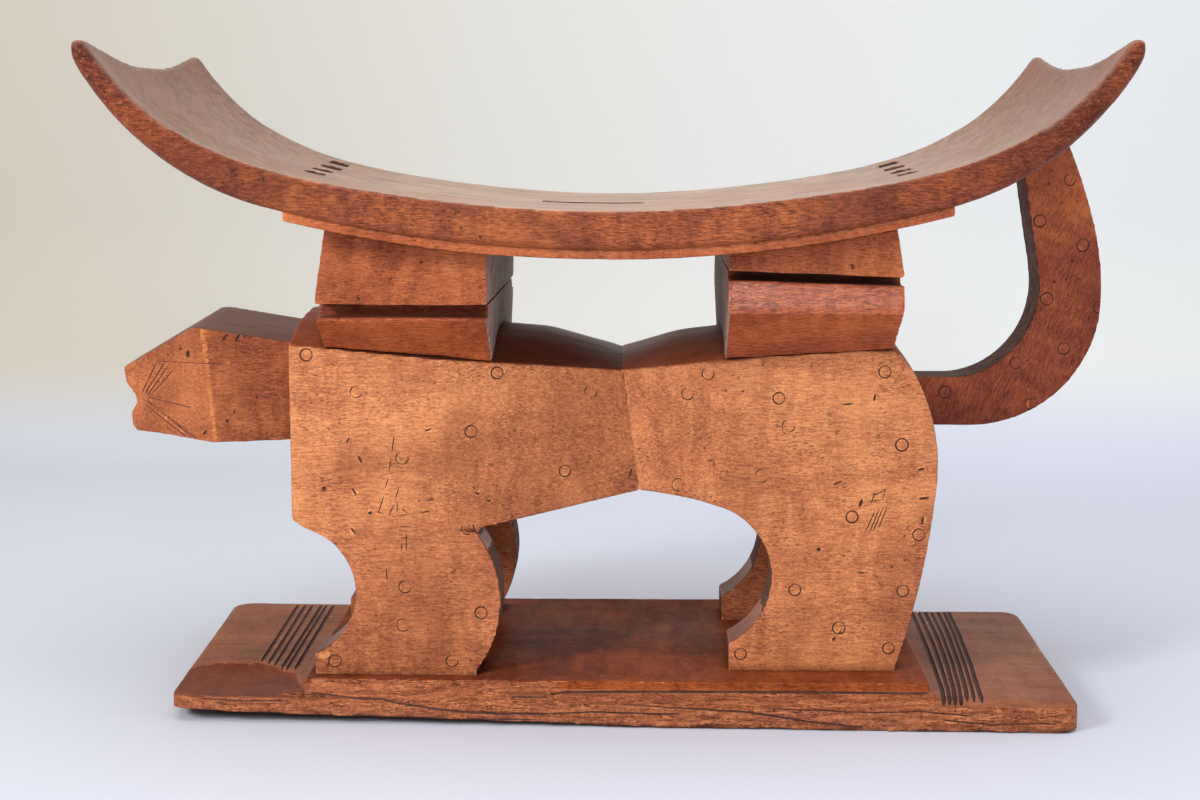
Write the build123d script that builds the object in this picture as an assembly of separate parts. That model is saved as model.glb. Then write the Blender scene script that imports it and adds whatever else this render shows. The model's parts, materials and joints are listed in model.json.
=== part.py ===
from build123d import *
from math import asin, cos, sin, sqrt
import os

# Asante stool in the form of a standing leopard.  Units are millimetres.
# Origin: on the floor, under the middle of the seat.  +X runs from the animal's head to its tail,
# +Y away from the side that the head's near cheek faces, +Z up.
# Each carved member is one solid.  Members meet on flat or matching faces and are keyed to each
# other by stub tenons, which are part of one member, in mortises cut in the next.

# ---------------------------------------------------------------- driving dimensions
# seat: a slab that curves up to both ends
SEAT_LENGTH = 588.0
SEAT_DEPTH = 290.0
SEAT_THICKNESS = 23.0
SEAT_ARC_SHARE = 1.31       # radius of the long shallow arc along the seat, as a share of its length
TIP_ARC_SHARE = 0.28        # radius of the arcs that turn its ends up
TIP_FROM_SHARE = 0.32       # where they take over, from the middle
DISH_MIDDLE = 1.5           # hollow across the seat, at its middle
DISH_END = 11.5             # and at its ends
DISH_STATIONS = (1.005, 0.84, 0.66, 0.4)   # slices of the hollow, as shares of half the seat
END_HOLLOW = 11.0           # how far the end edges curve in, seen along the slab
END_ANGLE = 40.0            # lean of the end faces from the vertical
END_BEVEL = 4.5             # lower edge of the ends
TIP_TRIM = 4.0              # how much is cut off level from the tips
OVERRUN = 5.0               # how far the seat's curve and its cutters run on past its trimmed edges
RIM_ROUND = 7.0             # lower edge of the long rims
HOLE_LENGTH = 62.0          # pierced hole in the middle of the seat
HOLE_WIDTH = 22.0
HOLE_X = -10.0
HOLE_Y = 12.0
SLOT_LENGTH = 11.0          # small pierced slots, one row across each side of the seat
SLOT_WIDTH = 17.0
SLOT_PITCH = 34.0
SLOTS_PER_ROW = 8
SLOT_ROW_X = 186.0

# pad: the thin raised plate under the seat
PAD_THICKNESS = 5.0
PAD_LENGTH = 372.0
PAD_X = 7.0
PAD_DEPTH = 278.0

# neck blocks between the animal's back and the pad
BLOCK_Y = 5.0               # middle of the blocks, front to back
BLOCK_DEPTH = 230.0
FRONT_BLOCK_INNER_X = -67.0
FRONT_BLOCK_LENGTH = 101.0
REAR_BLOCK_INNER_X = 69.0
REAR_BLOCK_LENGTH = 101.0
FRONT_LOWER_HEIGHT = 28.0   # flank's top edge to the lip of the groove
FRONT_GROOVE = 7.0          # the dark groove between lower and upper block
FRONT_UPPER_HEIGHT = 27.5   # groove to the underside of the pad's middle
REAR_GROOVE = 4.5
REAR_UPPER_HEIGHT = 7.5
REAR_FALL = 3.5             # the rear groove drops this much towards its outer end
REAR_RIDGE_HEIGHT = 32.0    # height of the ridge along the rear block's face
RIDGE_OUT = 4.0             # how far that ridge stands out past the lip
GROOVE_DEPTH = 17.0
BLOCK_LEAN = 9.0            # lean of the blocks' outer ends, in degrees

# animal
BODY_Y = 10.0
CHEST_DEPTH = 176.0
RUMP_DEPTH = 156.0
WAIST_DEPTH = 120.0         # the flanks draw in to this at the waist crease
WAIST_X = 15.5
WAIST_LEAN = 6.5            # the waist crease leans, top towards the head
CHEST_LENGTH = 204.0        # chest to waist
RUMP_LENGTH = 182.0         # waist to the rearmost point of the rump
FORE_FLANK = 93.0           # length of flat flank behind the chest
HIND_FLANK_X = 72.0         # where the hind flank starts to draw in
LEG_HEIGHT = 86.0           # plinth to the hip line
CHEST_HEIGHT = 112.0        # hip line to the shoulder edge, at the chest
FORE_DROP = 9.0             # the shoulder edge's fall to the end of the flat flank
RUMP_HEIGHT = 111.0
HIND_DROP = 8.0
WAIST_HEIGHT = 94.0         # hip line to the flank's top edge, at the waist
CROWN = 14.0                # the back's barrel above its edges
WAIST_CROWN = 7.0
LOIN_CROWN = 1.15           # the barrel between chest and waist, as a share of that at the chest
HAUNCH_CROWN = 0.95         # and between waist and flank
FLANK_CROWN = 0.85          # and where the hind flank starts
BACK_FLATS = 8              # flats across the back
BELLY_RISE = 19.5           # belly above the hip line at the waist
LEG_THICKNESS = 34.0
FOOT_HEIGHT = 11.0          # instep of the front feet
HIND_FOOT_HEIGHT = 16.0
FRONT_FOOT_LENGTH = 98.0
FRONT_FOOT_SET = 12.5       # toes behind the chest
HIND_FOOT_LENGTH = 101.0
HIND_FOOT_X = 73.0
ARCH_REACH = 25.0           # depth of the arches cut into the fronts of the legs
BRISKET_BACK = 9.0          # the chest's lower corner is cut off: this far back
BRISKET_UP = 6.0            # and this far up
CALF_BULGE = 15.0           # how far the back of the front leg stands out behind its heel
CALF_RISE = 0.56            # where it does so, as a share of the leg's height
GROIN_RISE = 11.0           # top of the hind arch above the hip line
GROIN_DROP = 2.0            # the belly's fall towards it, half way
# side view of the rump: how far each point is ahead of the rearmost one, and its share of the
# height from the plinth to the top of the rump
RUMP_CURVE = ((9.5, 0.26), (0.0, 0.59), (6.5, 0.82), (26.0, 1.0))

# head
HEAD_DEPTH = 92.0
HEAD_Y = 6.0
NOSE_DEPTH = 30.0
HEAD_ROLL = 3.0             # the head is carved with its far cheek a little higher
NECK_LENGTH = 59.0
SNOUT_LENGTH = 55.0
NECK_TOP = 108.5            # heights above the hip line
BROW_TOP = 118.0
BROW_LENGTH = 5.5           # flat part of the brow, ahead of the neck's end
NECK_BOTTOM = 48.5
JAW_BOTTOM = 46.0
# side view of the muzzle from the bridge of the nose over the notched mouth to the jaw:
# how far each point is behind the nose, and its height above the hip line
MUZZLE = ((0, 89), (1, 79), (7, 72), (8, 67), (3.5, 60), (4, 52), (7, 48.5), (27, 48))

# tail
TAIL_THICKNESS = 35.0
TAIL_Y = 10.0
TAIL_REACH = 107.0          # rump to the tail's rearmost point
TAIL_ROOT_HEIGHT = 54.0     # hip line to the tail's underside
TAIL_ROOT_DEPTH = 31.0
TAIL_WIDTH = 40.0
TAIL_BEND = 80.0            # radius of the outer bend
TAIL_STRAIGHT = 85.0        # height of the upright stretch's end above the root's top, on its inner edge
TAIL_TOP_INSET = 33.5       # outer edge of the tail's top, in from the seat's end
TAIL_TOP_WIDTH = 22.0
TAIL_INSET = 16.0           # how far the root is let into the rump's curve

# base
BASE_LENGTH = 546.0
BASE_DEPTH = 232.0
BASE_THICKNESS = 18.0
BASE_X = 7.5
BASE_Y = 0.0
BASE_SKEW = 8.0             # each long edge of the base runs this much askew, either way
BASE_TAPER = 4.0            # the near edge is this much shorter, at the head's end
BASE_CORNER = 14.0
BASE_EDGE = 2.5             # bevel of its upper edge
PLINTH_HEIGHT = 6.0
PLINTH_LENGTH = 372.0
PLINTH_X = 6.0
PLINTH_DEPTH = 208.0
PLINTH_Y = 9.0

# joints
FIT = 0.25                  # clearance on every side of a tenon
TENON_LENGTH = 40.0
TENON_WIDTH = 16.0
TENON_DEPTH = 20.0
BASE_SOCKET = 9.0           # how far the leg tenons enter the base
SEAT_SOCKET = 9.0           # how far the block tenons enter the seat
BLOCK_SOCKET = 10.0         # how far the upper blocks' tenons enter the lower ones

# ---------------------------------------------------------------- heights and places
base_top = BASE_THICKNESS
plinth_top = base_top + PLINTH_HEIGHT
hip = plinth_top + LEG_HEIGHT
chest_x = WAIST_X - CHEST_LENGTH
rump_x = WAIST_X + RUMP_LENGTH
chest_half = CHEST_DEPTH / 2
rump_half = RUMP_DEPTH / 2
waist_half = WAIST_DEPTH / 2
fore_flank_x = chest_x + FORE_FLANK
shoulder_chest = hip + CHEST_HEIGHT
shoulder_fore = shoulder_chest - FORE_DROP
shoulder_waist = hip + WAIST_HEIGHT
shoulder_rump = hip + RUMP_HEIGHT
shoulder_hind = shoulder_rump - HIND_DROP
block_near = BLOCK_Y - BLOCK_DEPTH / 2
block_far = BLOCK_Y + BLOCK_DEPTH / 2
front_lip = shoulder_fore + FRONT_LOWER_HEIGHT
front_core = front_lip + FRONT_GROOVE
pad_bottom = front_core + FRONT_UPPER_HEIGHT
rear_core = pad_bottom - REAR_UPPER_HEIGHT
seat_bottom = pad_bottom + PAD_THICKNESS
half_seat = SEAT_LENGTH / 2
curve_reach = half_seat + OVERRUN
seat_arc = SEAT_ARC_SHARE * SEAT_LENGTH
tip_arc = TIP_ARC_SHARE * SEAT_LENGTH
tip_from = TIP_FROM_SHARE * SEAT_LENGTH
arc_turn = asin(tip_from / seat_arc)
tip_centre_x = (seat_arc - tip_arc) * sin(arc_turn)
tip_centre_lift = seat_arc - (seat_arc - tip_arc) * cos(arc_turn)
front_outer_x = FRONT_BLOCK_INNER_X - FRONT_BLOCK_LENGTH
rear_outer_x = REAR_BLOCK_INNER_X + REAR_BLOCK_LENGTH
FAR_AWAY = 2 * SEAT_LENGTH


# ---------------------------------------------------------------- helpers
def side_prism(outline, y0, y1):
    """A closed outline in the XZ plane, carried from y0 to y1."""
    face = make_face(Plane.XZ * outline)
    return Pos(0, y1, 0) * extrude(face, amount=y1 - y0, dir=(0, -1, 0))


def span_box(x0, x1, y0, y1, z0, z1):
    """A box between two corners."""
    middle = Pos((x0 + x1) / 2, (y0 + y1) / 2, (z0 + z1) / 2)
    return middle * Box(abs(x1 - x0), abs(y1 - y0), abs(z1 - z0))


def key_box(centre, size, slack=0.0):
    """A tenon, or with slack the mortise that takes it."""
    x, y, z = centre
    return Pos(x, y, z) * Box(size[0] + 2 * slack, size[1] + 2 * slack, size[2] + 2 * slack)


def mix(a, b, t):
    """The value a share t of the way from a to b."""
    return a + (b - a) * t


# ---------------------------------------------------------------- seat curve
def seat_lift(x):
    """How far the seat has risen at x above its middle."""
    if abs(x) < tip_from:
        return seat_arc - sqrt(seat_arc**2 - x**2)
    return tip_centre_lift - sqrt(tip_arc**2 - (abs(x) - tip_centre_x) ** 2)


def seat_curve(z):
    """The seat's curve from end to end: a long arc and two tight ones, tangent to each other."""
    stops = (-curve_reach, (-tip_from - curve_reach) / 2, -tip_from, 0)
    stops += tuple(-x for x in stops[2::-1])
    points = [(x, z + seat_lift(x)) for x in stops]
    return [ThreePointArc(*points[i : i + 3]) for i in (0, 2, 4)]


def over_curve(z):
    """Everything above the seat's curve, started at height z."""
    arcs = seat_curve(z)
    left, right = arcs[0] @ 0, arcs[2] @ 1
    rest = Polyline(right, (right.X, FAR_AWAY), (left.X, FAR_AWAY), left)
    return side_prism(Wire([*arcs, *rest.edges()]), -FAR_AWAY, FAR_AWAY)


def curved_plate(z, thickness, depth):
    """A plate that follows the seat's curve."""
    low, high = seat_curve(z), seat_curve(z + thickness)
    ends = [Line(low[0] @ 0, high[0] @ 0), Line(low[2] @ 1, high[2] @ 1)]
    return side_prism(Wire([*low, *high, *ends]), -depth / 2, depth / 2)


# ---------------------------------------------------------------- seat and pad
def dish_section(x):
    """The hollow across the seat at x, as a face that is open upwards far above the rim."""
    half = SEAT_DEPTH / 2 + OVERRUN
    rim = seat_bottom + SEAT_THICKNESS + seat_lift(x)
    depth = DISH_MIDDLE + (DISH_END - DISH_MIDDLE) * (abs(x) / half_seat) ** 2
    edge = rim + depth * ((2 * half / SEAT_DEPTH) ** 2 - 1)
    top = rim + FAR_AWAY / 4
    arc = ThreePointArc((x, -half, edge), (x, 0, rim - depth), (x, half, edge))
    sides = Polyline((x, half, edge), (x, half, top), (x, -half, top), (x, -half, edge))
    return make_face(arc + sides)


def end_cutter():
    """A wide cylinder that trims the +X end along a shallow curve, square to the slab."""
    radius = ((SEAT_DEPTH / 2) ** 2 + END_HOLLOW**2) / (2 * END_HOLLOW)
    lean = Vector(0, 0, 1).rotate(Axis.Y, -END_ANGLE)
    outward = Vector(1, 0, 0).rotate(Axis.Y, -END_ANGLE)
    corner = Vector(half_seat, 0, seat_bottom + SEAT_THICKNESS / 4 + seat_lift(half_seat))
    axis_point = corner + outward * (radius - END_HOLLOW)
    return Plane(origin=axis_point, z_dir=lean) * Cylinder(radius, SEAT_LENGTH / 2)


def seat_holes():
    """The pierced hole in the middle and the two rows of small slots, as cutters."""
    top = seat_bottom + SEAT_THICKNESS + seat_lift(curve_reach)
    height = top - pad_bottom + 2 * PAD_THICKNESS
    level = (top + pad_bottom) / 2
    cutters = Pos(HOLE_X, HOLE_Y, level) * Box(HOLE_LENGTH, HOLE_WIDTH, height)
    for side in (-1, 1):
        for i in range(SLOTS_PER_ROW):
            y = SLOT_PITCH * (i - (SLOTS_PER_ROW - 1) / 2)
            cutters += Pos(side * SLOT_ROW_X, y, level) * Box(SLOT_LENGTH, SLOT_WIDTH, height)
    return cutters


def end_edges(slab):
    """The edges that run across the slab's ends, the upper ones first."""
    across = [e for e in slab.edges() if abs(e.center().Y) < SEAT_DEPTH / 4]
    across = [e for e in across if abs(e.center().X) > 0.9 * half_seat]
    return sorted(across, key=lambda e: abs(e.center().X))


def seat():
    half = SEAT_DEPTH / 2
    slab = curved_plate(seat_bottom, SEAT_THICKNESS + 2 * DISH_END, SEAT_DEPTH)
    outward = [s * curve_reach for s in DISH_STATIONS]
    stations = [-x for x in outward] + [0] + outward[::-1]
    slab -= loft([dish_section(x) for x in stations])
    slab -= end_cutter()
    slab -= mirror(end_cutter(), about=Plane.YZ)
    slab = chamfer(end_edges(slab)[2:], END_BEVEL)
    rims = [e for e in slab.edges().filter_by(GeomType.CIRCLE) if abs(e.center().Y) > half - 1]
    slab = fillet(rims, RIM_ROUND)
    top = slab.bounding_box().max.Z - TIP_TRIM
    slab &= span_box(-SEAT_LENGTH, SEAT_LENGTH, -SEAT_DEPTH, SEAT_DEPTH, 0, top)
    return slab - seat_holes()


def pad():
    plate = curved_plate(pad_bottom, PAD_THICKNESS, PAD_DEPTH)
    x0 = PAD_X - PAD_LENGTH / 2
    x1 = PAD_X + PAD_LENGTH / 2
    plate &= span_box(x0, x1, -PAD_DEPTH, PAD_DEPTH, 0, FAR_AWAY)
    return plate - seat_holes()


# ---------------------------------------------------------------- the animal's body
def waist_x_at(z):
    """The waist crease leans, so its x depends on the height."""
    return WAIST_X - WAIST_LEAN * (z - mix(hip, shoulder_waist, 0.5)) / (shoulder_waist - hip) * 2


def body_section(x_low, x_high, half, shoulder, crown):
    """A slice across the body: upright flanks and a back carved in flats to a barrel shape."""
    low = hip - BELLY_RISE
    x_shoulder = mix(x_low, x_high, (shoulder - low) / (shoulder + crown - low))
    points = [(x_low, BODY_Y + half, low), (x_low, BODY_Y - half, low)]
    for i in range(BACK_FLATS + 1):
        across = 2 * i / BACK_FLATS - 1
        rise = 1 - across**2
        points.append((mix(x_shoulder, x_high, rise), BODY_Y + across * half, shoulder + rise * crown))
    return make_face(Polyline(*points, close=True))


def waist_section():
    low = hip - BELLY_RISE
    high = shoulder_waist + WAIST_CROWN
    return body_section(waist_x_at(low), waist_x_at(high), waist_half, shoulder_waist, WAIST_CROWN)


def fore_edge(x):
    """Height of the front half's flank edge at x, and half the body's depth there."""
    if x < fore_flank_x:
        return mix(shoulder_chest, shoulder_fore, (x - chest_x) / FORE_FLANK), chest_half
    t = (x - fore_flank_x) / (WAIST_X - fore_flank_x)
    return mix(shoulder_fore, shoulder_waist, t), mix(chest_half, waist_half, t)


def hind_edge(x):
    """The same for the rear half."""
    if x > HIND_FLANK_X:
        return mix(shoulder_hind, shoulder_rump, (x - HIND_FLANK_X) / (rump_x - HIND_FLANK_X)), rump_half
    t = (HIND_FLANK_X - x) / (HIND_FLANK_X - WAIST_X)
    return mix(shoulder_hind, shoulder_waist, t), mix(rump_half, waist_half, t)


def fore_sections():
    loin_x = mix(WAIST_X, fore_flank_x, 0.48)
    loin, loin_half = fore_edge(loin_x)
    return [
        body_section(chest_x, chest_x, chest_half, shoulder_chest, CROWN),
        body_section(fore_flank_x, fore_flank_x, chest_half, shoulder_fore, CROWN),
        body_section(loin_x, loin_x, loin_half, loin, LOIN_CROWN * CROWN),
        waist_section(),
    ]


def hind_sections():
    haunch_x = mix(WAIST_X, HIND_FLANK_X, 0.5)
    haunch, haunch_half = hind_edge(haunch_x)
    return [
        waist_section(),
        body_section(haunch_x, haunch_x, haunch_half, haunch, HAUNCH_CROWN * CROWN),
        body_section(HIND_FLANK_X, HIND_FLANK_X, rump_half, shoulder_hind, FLANK_CROWN * CROWN),
        body_section(rump_x, rump_x, rump_half, shoulder_rump, CROWN),
    ]


def fore_outline():
    """Side view of the front half: chest, front arch, foot, back of the leg and belly."""
    sky = shoulder_chest + 2 * CROWN
    toe_x = chest_x + FRONT_FOOT_SET
    heel_x = toe_x + FRONT_FOOT_LENGTH
    instep = plinth_top + FOOT_HEIGHT
    belly = hip + BELLY_RISE
    brisket = (chest_x + BRISKET_BACK, hip)
    arch_middle = (toe_x + ARCH_REACH, mix(instep, hip, 0.5))
    calf_middle = (heel_x + CALF_BULGE, mix(plinth_top, hip, CALF_RISE))
    waist = Line((waist_x_at(belly), belly), (waist_x_at(sky), sky))
    chest = Polyline((waist_x_at(sky), sky), (chest_x, sky), (chest_x, hip + BRISKET_UP), brisket)
    arch = ThreePointArc(brisket, arch_middle, (toe_x, instep))
    sole = Polyline((toe_x, instep), (toe_x, plinth_top), (heel_x, plinth_top))
    calf = ThreePointArc((heel_x, plinth_top), calf_middle, (heel_x, hip))
    under = Line((heel_x, hip), (waist_x_at(belly), belly))
    return chest + arch + sole + calf + under + waist


def hind_outline():
    """Side view of the rear half: belly, rear arch, foot and the long curve of the rump."""
    sky = shoulder_rump + 2 * CROWN
    instep = plinth_top + HIND_FOOT_HEIGHT
    belly = hip + BELLY_RISE
    toe_x = HIND_FOOT_X
    heel_x = toe_x + HIND_FOOT_LENGTH
    thigh = (toe_x, hip + GROIN_RISE)
    flank = (mix(WAIST_X, toe_x, 0.5), belly - GROIN_DROP)
    low, back, high, top = [
        (rump_x - ahead, mix(plinth_top, shoulder_rump, share)) for ahead, share in RUMP_CURVE
    ]
    waist = Line((waist_x_at(sky), sky), (waist_x_at(belly), belly))
    groin = ThreePointArc((waist_x_at(belly), belly), flank, thigh)
    arch = ThreePointArc(thigh, (toe_x + ARCH_REACH, mix(instep, hip, 0.5)), (toe_x, instep))
    sole = Polyline((toe_x, instep), (toe_x, plinth_top), (heel_x, plinth_top))
    rump = ThreePointArc((heel_x, plinth_top), low, back) + ThreePointArc(back, high, top)
    over = Polyline(top, (top[0], sky), (waist_x_at(sky), sky))
    return waist + groin + arch + sole + rump + over


def quarters(trunk, outline):
    above_hip = span_box(-FAR_AWAY, FAR_AWAY, -FAR_AWAY, FAR_AWAY, hip, FAR_AWAY)
    return trunk & side_prism(outline, -FAR_AWAY, FAR_AWAY) & above_hip


def leg(outline, middle):
    below_hip = span_box(-FAR_AWAY, FAR_AWAY, -FAR_AWAY, FAR_AWAY, 0, hip)
    return side_prism(outline, middle - LEG_THICKNESS / 2, middle + LEG_THICKNESS / 2) & below_hip


# ---------------------------------------------------------------- neck blocks
def block_section(x, edge, core, groove, ridge_z=None):
    """A slice across a lower block: it spreads up from the flank's edge to the lip of the groove."""
    shoulder, body_half = edge
    lip = core - groove

    def side_points(body_y, face_y, outward):
        ridge = [(face_y + outward * RIDGE_OUT, ridge_z)] if ridge_z else []
        inner_y = face_y - outward * GROOVE_DEPTH
        return [(body_y, shoulder)] + ridge + [(face_y, lip), (inner_y, lip), (inner_y, core)]

    near_side = side_points(BODY_Y - body_half, block_near, -1)
    far_side = side_points(BODY_Y + body_half, block_far, 1)
    points = [(x, y, z) for y, z in near_side + far_side[::-1]]
    return make_face(Polyline(*points, close=True))


def outer_end(x_bottom, z_bottom, side):
    """Everything beyond a block's leaning outer end."""
    plane = Plane(origin=(x_bottom, 0, z_bottom), z_dir=(side, 0, 0))
    lean = Plane(plane.origin, x_dir=(0, 1, 0), z_dir=Vector(side, 0, 0).rotate(Axis.Y, side * -BLOCK_LEAN))
    return lean * Pos(0, 0, FAR_AWAY / 2) * Box(FAR_AWAY, FAR_AWAY, FAR_AWAY)


def upper_block(x_in, x_out, core_in, core_out):
    """The block over the groove, up to the pad, with its outer end leaning in."""
    side = 1 if x_out > x_in else -1
    top = pad_bottom + seat_lift(tip_from)
    outline = Polyline((x_in, core_in), (x_out, core_out), (x_out, top), (x_in, top), close=True)
    blank = side_prism(outline, block_near, block_far)
    blank -= outer_end(x_out, core_out, side)
    return blank - over_curve(pad_bottom)


# ---------------------------------------------------------------- head and tail
def head():
    ridge_x = chest_x - NECK_LENGTH
    nose_x = ridge_x - SNOUT_LENGTH
    outline = Polyline(
        (chest_x, hip + NECK_TOP),
        (ridge_x, hip + BROW_TOP),
        (ridge_x - BROW_LENGTH, hip + BROW_TOP),
        *[(nose_x + behind, hip + height) for behind, height in MUZZLE],
        (ridge_x + BROW_LENGTH, hip + JAW_BOTTOM),
        (chest_x, hip + NECK_BOTTOM),
        close=True,
    )
    wide = HEAD_DEPTH / 2
    narrow = NOSE_DEPTH / 2
    cheeks = side_prism(outline, HEAD_Y - wide, HEAD_Y + wide)
    plan = Polyline(
        (chest_x + NECK_LENGTH, HEAD_Y - wide),
        (ridge_x + BROW_LENGTH, HEAD_Y - wide),
        (nose_x - BROW_LENGTH, HEAD_Y - narrow),
        (nose_x - BROW_LENGTH, HEAD_Y + narrow),
        (ridge_x + BROW_LENGTH, HEAD_Y + wide),
        (chest_x + NECK_LENGTH, HEAD_Y + wide),
        close=True,
    )
    face = Pos(0, 0, hip + JAW_BOTTOM - 1) * make_face(plan)
    taper = extrude(face, amount=BROW_TOP, dir=(-0.1, 0, 1))
    cheek_line = Axis((0, HEAD_Y - wide, hip + JAW_BOTTOM), (1, 0, 0))
    return (cheeks & taper).rotate(cheek_line, HEAD_ROLL)


def tail():
    """A flat bar that runs back from the rump and turns up to the seat."""
    start_x = rump_x - TAIL_INSET
    tip_x = rump_x + TAIL_REACH
    inner_x = tip_x - TAIL_WIDTH
    top_x = half_seat - TAIL_TOP_INSET
    root = hip + TAIL_ROOT_HEIGHT
    root_top = root + TAIL_ROOT_DEPTH
    height = pad_bottom + seat_lift(half_seat)
    corner = (tip_x - TAIL_BEND, root)
    turn = (tip_x, root + TAIL_BEND)
    bend_share = 1 - sqrt(0.5)
    middle = (tip_x - TAIL_BEND * bend_share, root + TAIL_BEND * bend_share)
    rising = (mix(tip_x, top_x, 0.18), mix(turn[1], height, 0.38))
    outer = Line((start_x, root), corner) + ThreePointArc(corner, middle, turn)
    outer += Spline(turn, rising, (top_x, height), tangents=[(0, 1), (-0.5, 1)])
    bend = (inner_x, root_top + 0.64 * TAIL_STRAIGHT)
    leaning = (mix(inner_x, top_x - TAIL_TOP_WIDTH, 0.15), root_top + TAIL_STRAIGHT)
    elbow = (start_x + 2 * TAIL_INSET, root_top)
    inner = Spline((top_x - TAIL_TOP_WIDTH, height), leaning, bend, tangents=[(0.4, -1), (0, -1)])
    inner += ThreePointArc(bend, (inner_x - 0.4 * TAIL_WIDTH, root_top + 0.4 * TAIL_WIDTH), elbow)
    inner += Line(elbow, (start_x, root_top))
    ends = Line((top_x, height), (top_x - TAIL_TOP_WIDTH, height))
    ends += Line((start_x, root_top), (start_x, root))
    half = TAIL_THICKNESS / 2
    bar = side_prism(outer + inner + ends, TAIL_Y - half, TAIL_Y + half)
    return bar - over_curve(seat_bottom)


# ---------------------------------------------------------------- base
def rounded_slab(length, depth, x, y, z, height, corner):
    corners = RectangleRounded(length, depth, corner)
    return extrude(Pos(x, y, z) * corners, amount=height)


def base():
    """A slab with hand-cut edges: neither long edge is quite parallel to the seat."""
    x0 = BASE_X - BASE_LENGTH / 2
    x1 = BASE_X + BASE_LENGTH / 2
    y0 = BASE_Y - BASE_DEPTH / 2
    y1 = BASE_Y + BASE_DEPTH / 2
    outline = Polyline(
        (x0 + 2 * BASE_TAPER, y0 + BASE_SKEW),
        (x1 - BASE_TAPER, y0 - BASE_SKEW / 4),
        (x1, y1 - BASE_SKEW),
        (x0, y1 + BASE_SKEW / 2),
        close=True,
    )
    slab = extrude(make_face(outline), amount=BASE_THICKNESS)
    slab = fillet(slab.edges().filter_by(Axis.Z), BASE_CORNER)
    top = slab.faces().sort_by(Axis.Z)[-1]
    return chamfer(top.edges(), BASE_EDGE)


def plinth():
    return rounded_slab(PLINTH_LENGTH, PLINTH_DEPTH, PLINTH_X, PLINTH_Y, base_top, PLINTH_HEIGHT, 2)


# ---------------------------------------------------------------- joining
def join(parts, holder, takers, centre, size):
    """Give holder a tenon, and cut its mortise, with clearance, in each taker."""
    parts[holder] += key_box(centre, size)
    for taker in takers:
        parts[taker] -= key_box(centre, size, FIT)


def build():
    fore = fore_outline()
    hind = hind_outline()
    fore_trunk = loft(fore_sections(), ruled=True)
    hind_trunk = loft(hind_sections(), ruled=True)
    parts = {
        "base": base(),
        "plinth": plinth(),
        "forequarters": quarters(fore_trunk, fore),
        "hindquarters": quarters(hind_trunk, hind),
        "seat": seat(),
        "seat_pad": pad(),
        "head": head(),
    }
    parts["tail"] = tail() - parts["hindquarters"]

    x_in, x_out = FRONT_BLOCK_INNER_X, front_outer_x
    ends = [block_section(x, fore_edge(x), front_core, FRONT_GROOVE) for x in (x_in, x_out)]
    parts["front_lower_block"] = loft(ends, ruled=True) - fore_trunk
    parts["front_upper_block"] = upper_block(x_in, x_out, front_core, front_core)

    x_in, x_out = REAR_BLOCK_INNER_X, rear_outer_x
    ridge_z = shoulder_hind + REAR_RIDGE_HEIGHT
    inner_end = block_section(x_in, hind_edge(x_in), rear_core, REAR_GROOVE, ridge_z)
    outer_end_face = block_section(x_out, hind_edge(x_out), rear_core - REAR_FALL, REAR_GROOVE, ridge_z)
    parts["rear_lower_block"] = loft([inner_end, outer_end_face], ruled=True) - hind_trunk
    parts["rear_upper_block"] = upper_block(x_in, x_out, rear_core, rear_core - REAR_FALL)

    leg_places = (
        ("front", fore, chest_half, chest_x + FRONT_FOOT_SET + FRONT_FOOT_LENGTH / 2, "forequarters"),
        ("hind", hind, rump_half, HIND_FOOT_X + HIND_FOOT_LENGTH / 2, "hindquarters"),
    )
    for end, outline, body_half, x, carrier in leg_places:
        for side, sign in (("near", -1), ("far", 1)):
            name = f"{end}_leg_{side}"
            y = BODY_Y + sign * (body_half - LEG_THICKNESS / 2)
            parts[name] = leg(outline, y)
            foot_depth = PLINTH_HEIGHT + BASE_SOCKET
            foot = (x, y, plinth_top - foot_depth / 2)
            join(parts, name, ["plinth", "base"], foot, (TENON_LENGTH, TENON_WIDTH, foot_depth))
            top = (x, y, hip + TENON_DEPTH / 2)
            join(parts, name, [carrier], top, (TENON_LENGTH, TENON_WIDTH, TENON_DEPTH))

    waist = (WAIST_X, BODY_Y, mix(hip + BELLY_RISE, shoulder_waist, 0.5))
    join(parts, "hindquarters", ["forequarters"], waist, (4 * TENON_DEPTH, TENON_LENGTH, 2 * TENON_DEPTH))
    neck = (chest_x, HEAD_Y, hip + mix(NECK_BOTTOM, NECK_TOP, 0.5))
    join(parts, "head", ["forequarters"], neck, (2 * TENON_DEPTH, TENON_LENGTH, TENON_WIDTH))
    dock = (rump_x - TENON_DEPTH / 2, TAIL_Y, hip + TAIL_ROOT_HEIGHT + TAIL_ROOT_DEPTH / 2)
    join(parts, "tail", ["hindquarters"], dock, (2 * TENON_DEPTH, TENON_WIDTH, TENON_WIDTH))

    blocks = (
        ("front", mix(FRONT_BLOCK_INNER_X, front_outer_x, 0.5), "forequarters", shoulder_fore, front_core),
        ("rear", mix(REAR_BLOCK_INNER_X, rear_outer_x, 0.5), "hindquarters", shoulder_hind, rear_core),
    )
    for end, x, carrier, shoulder, core in blocks:
        foot = (x, BODY_Y, shoulder - TENON_DEPTH / 2)
        join(parts, f"{end}_lower_block", [carrier], foot, (TENON_LENGTH, TENON_LENGTH, 3 * TENON_DEPTH))
        low = core - BLOCK_SOCKET
        high = seat_bottom + seat_lift(x) + SEAT_SOCKET
        key = (x, BLOCK_Y, (low + high) / 2)
        takers = [f"{end}_lower_block", "seat_pad", "seat"]
        join(parts, f"{end}_upper_block", takers, key, (TENON_LENGTH, TENON_LENGTH, high - low))
    return parts


os.makedirs("parts", exist_ok=True)
for node, solid in build().items():
    export_step(solid, f"parts/{node}.step")
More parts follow.
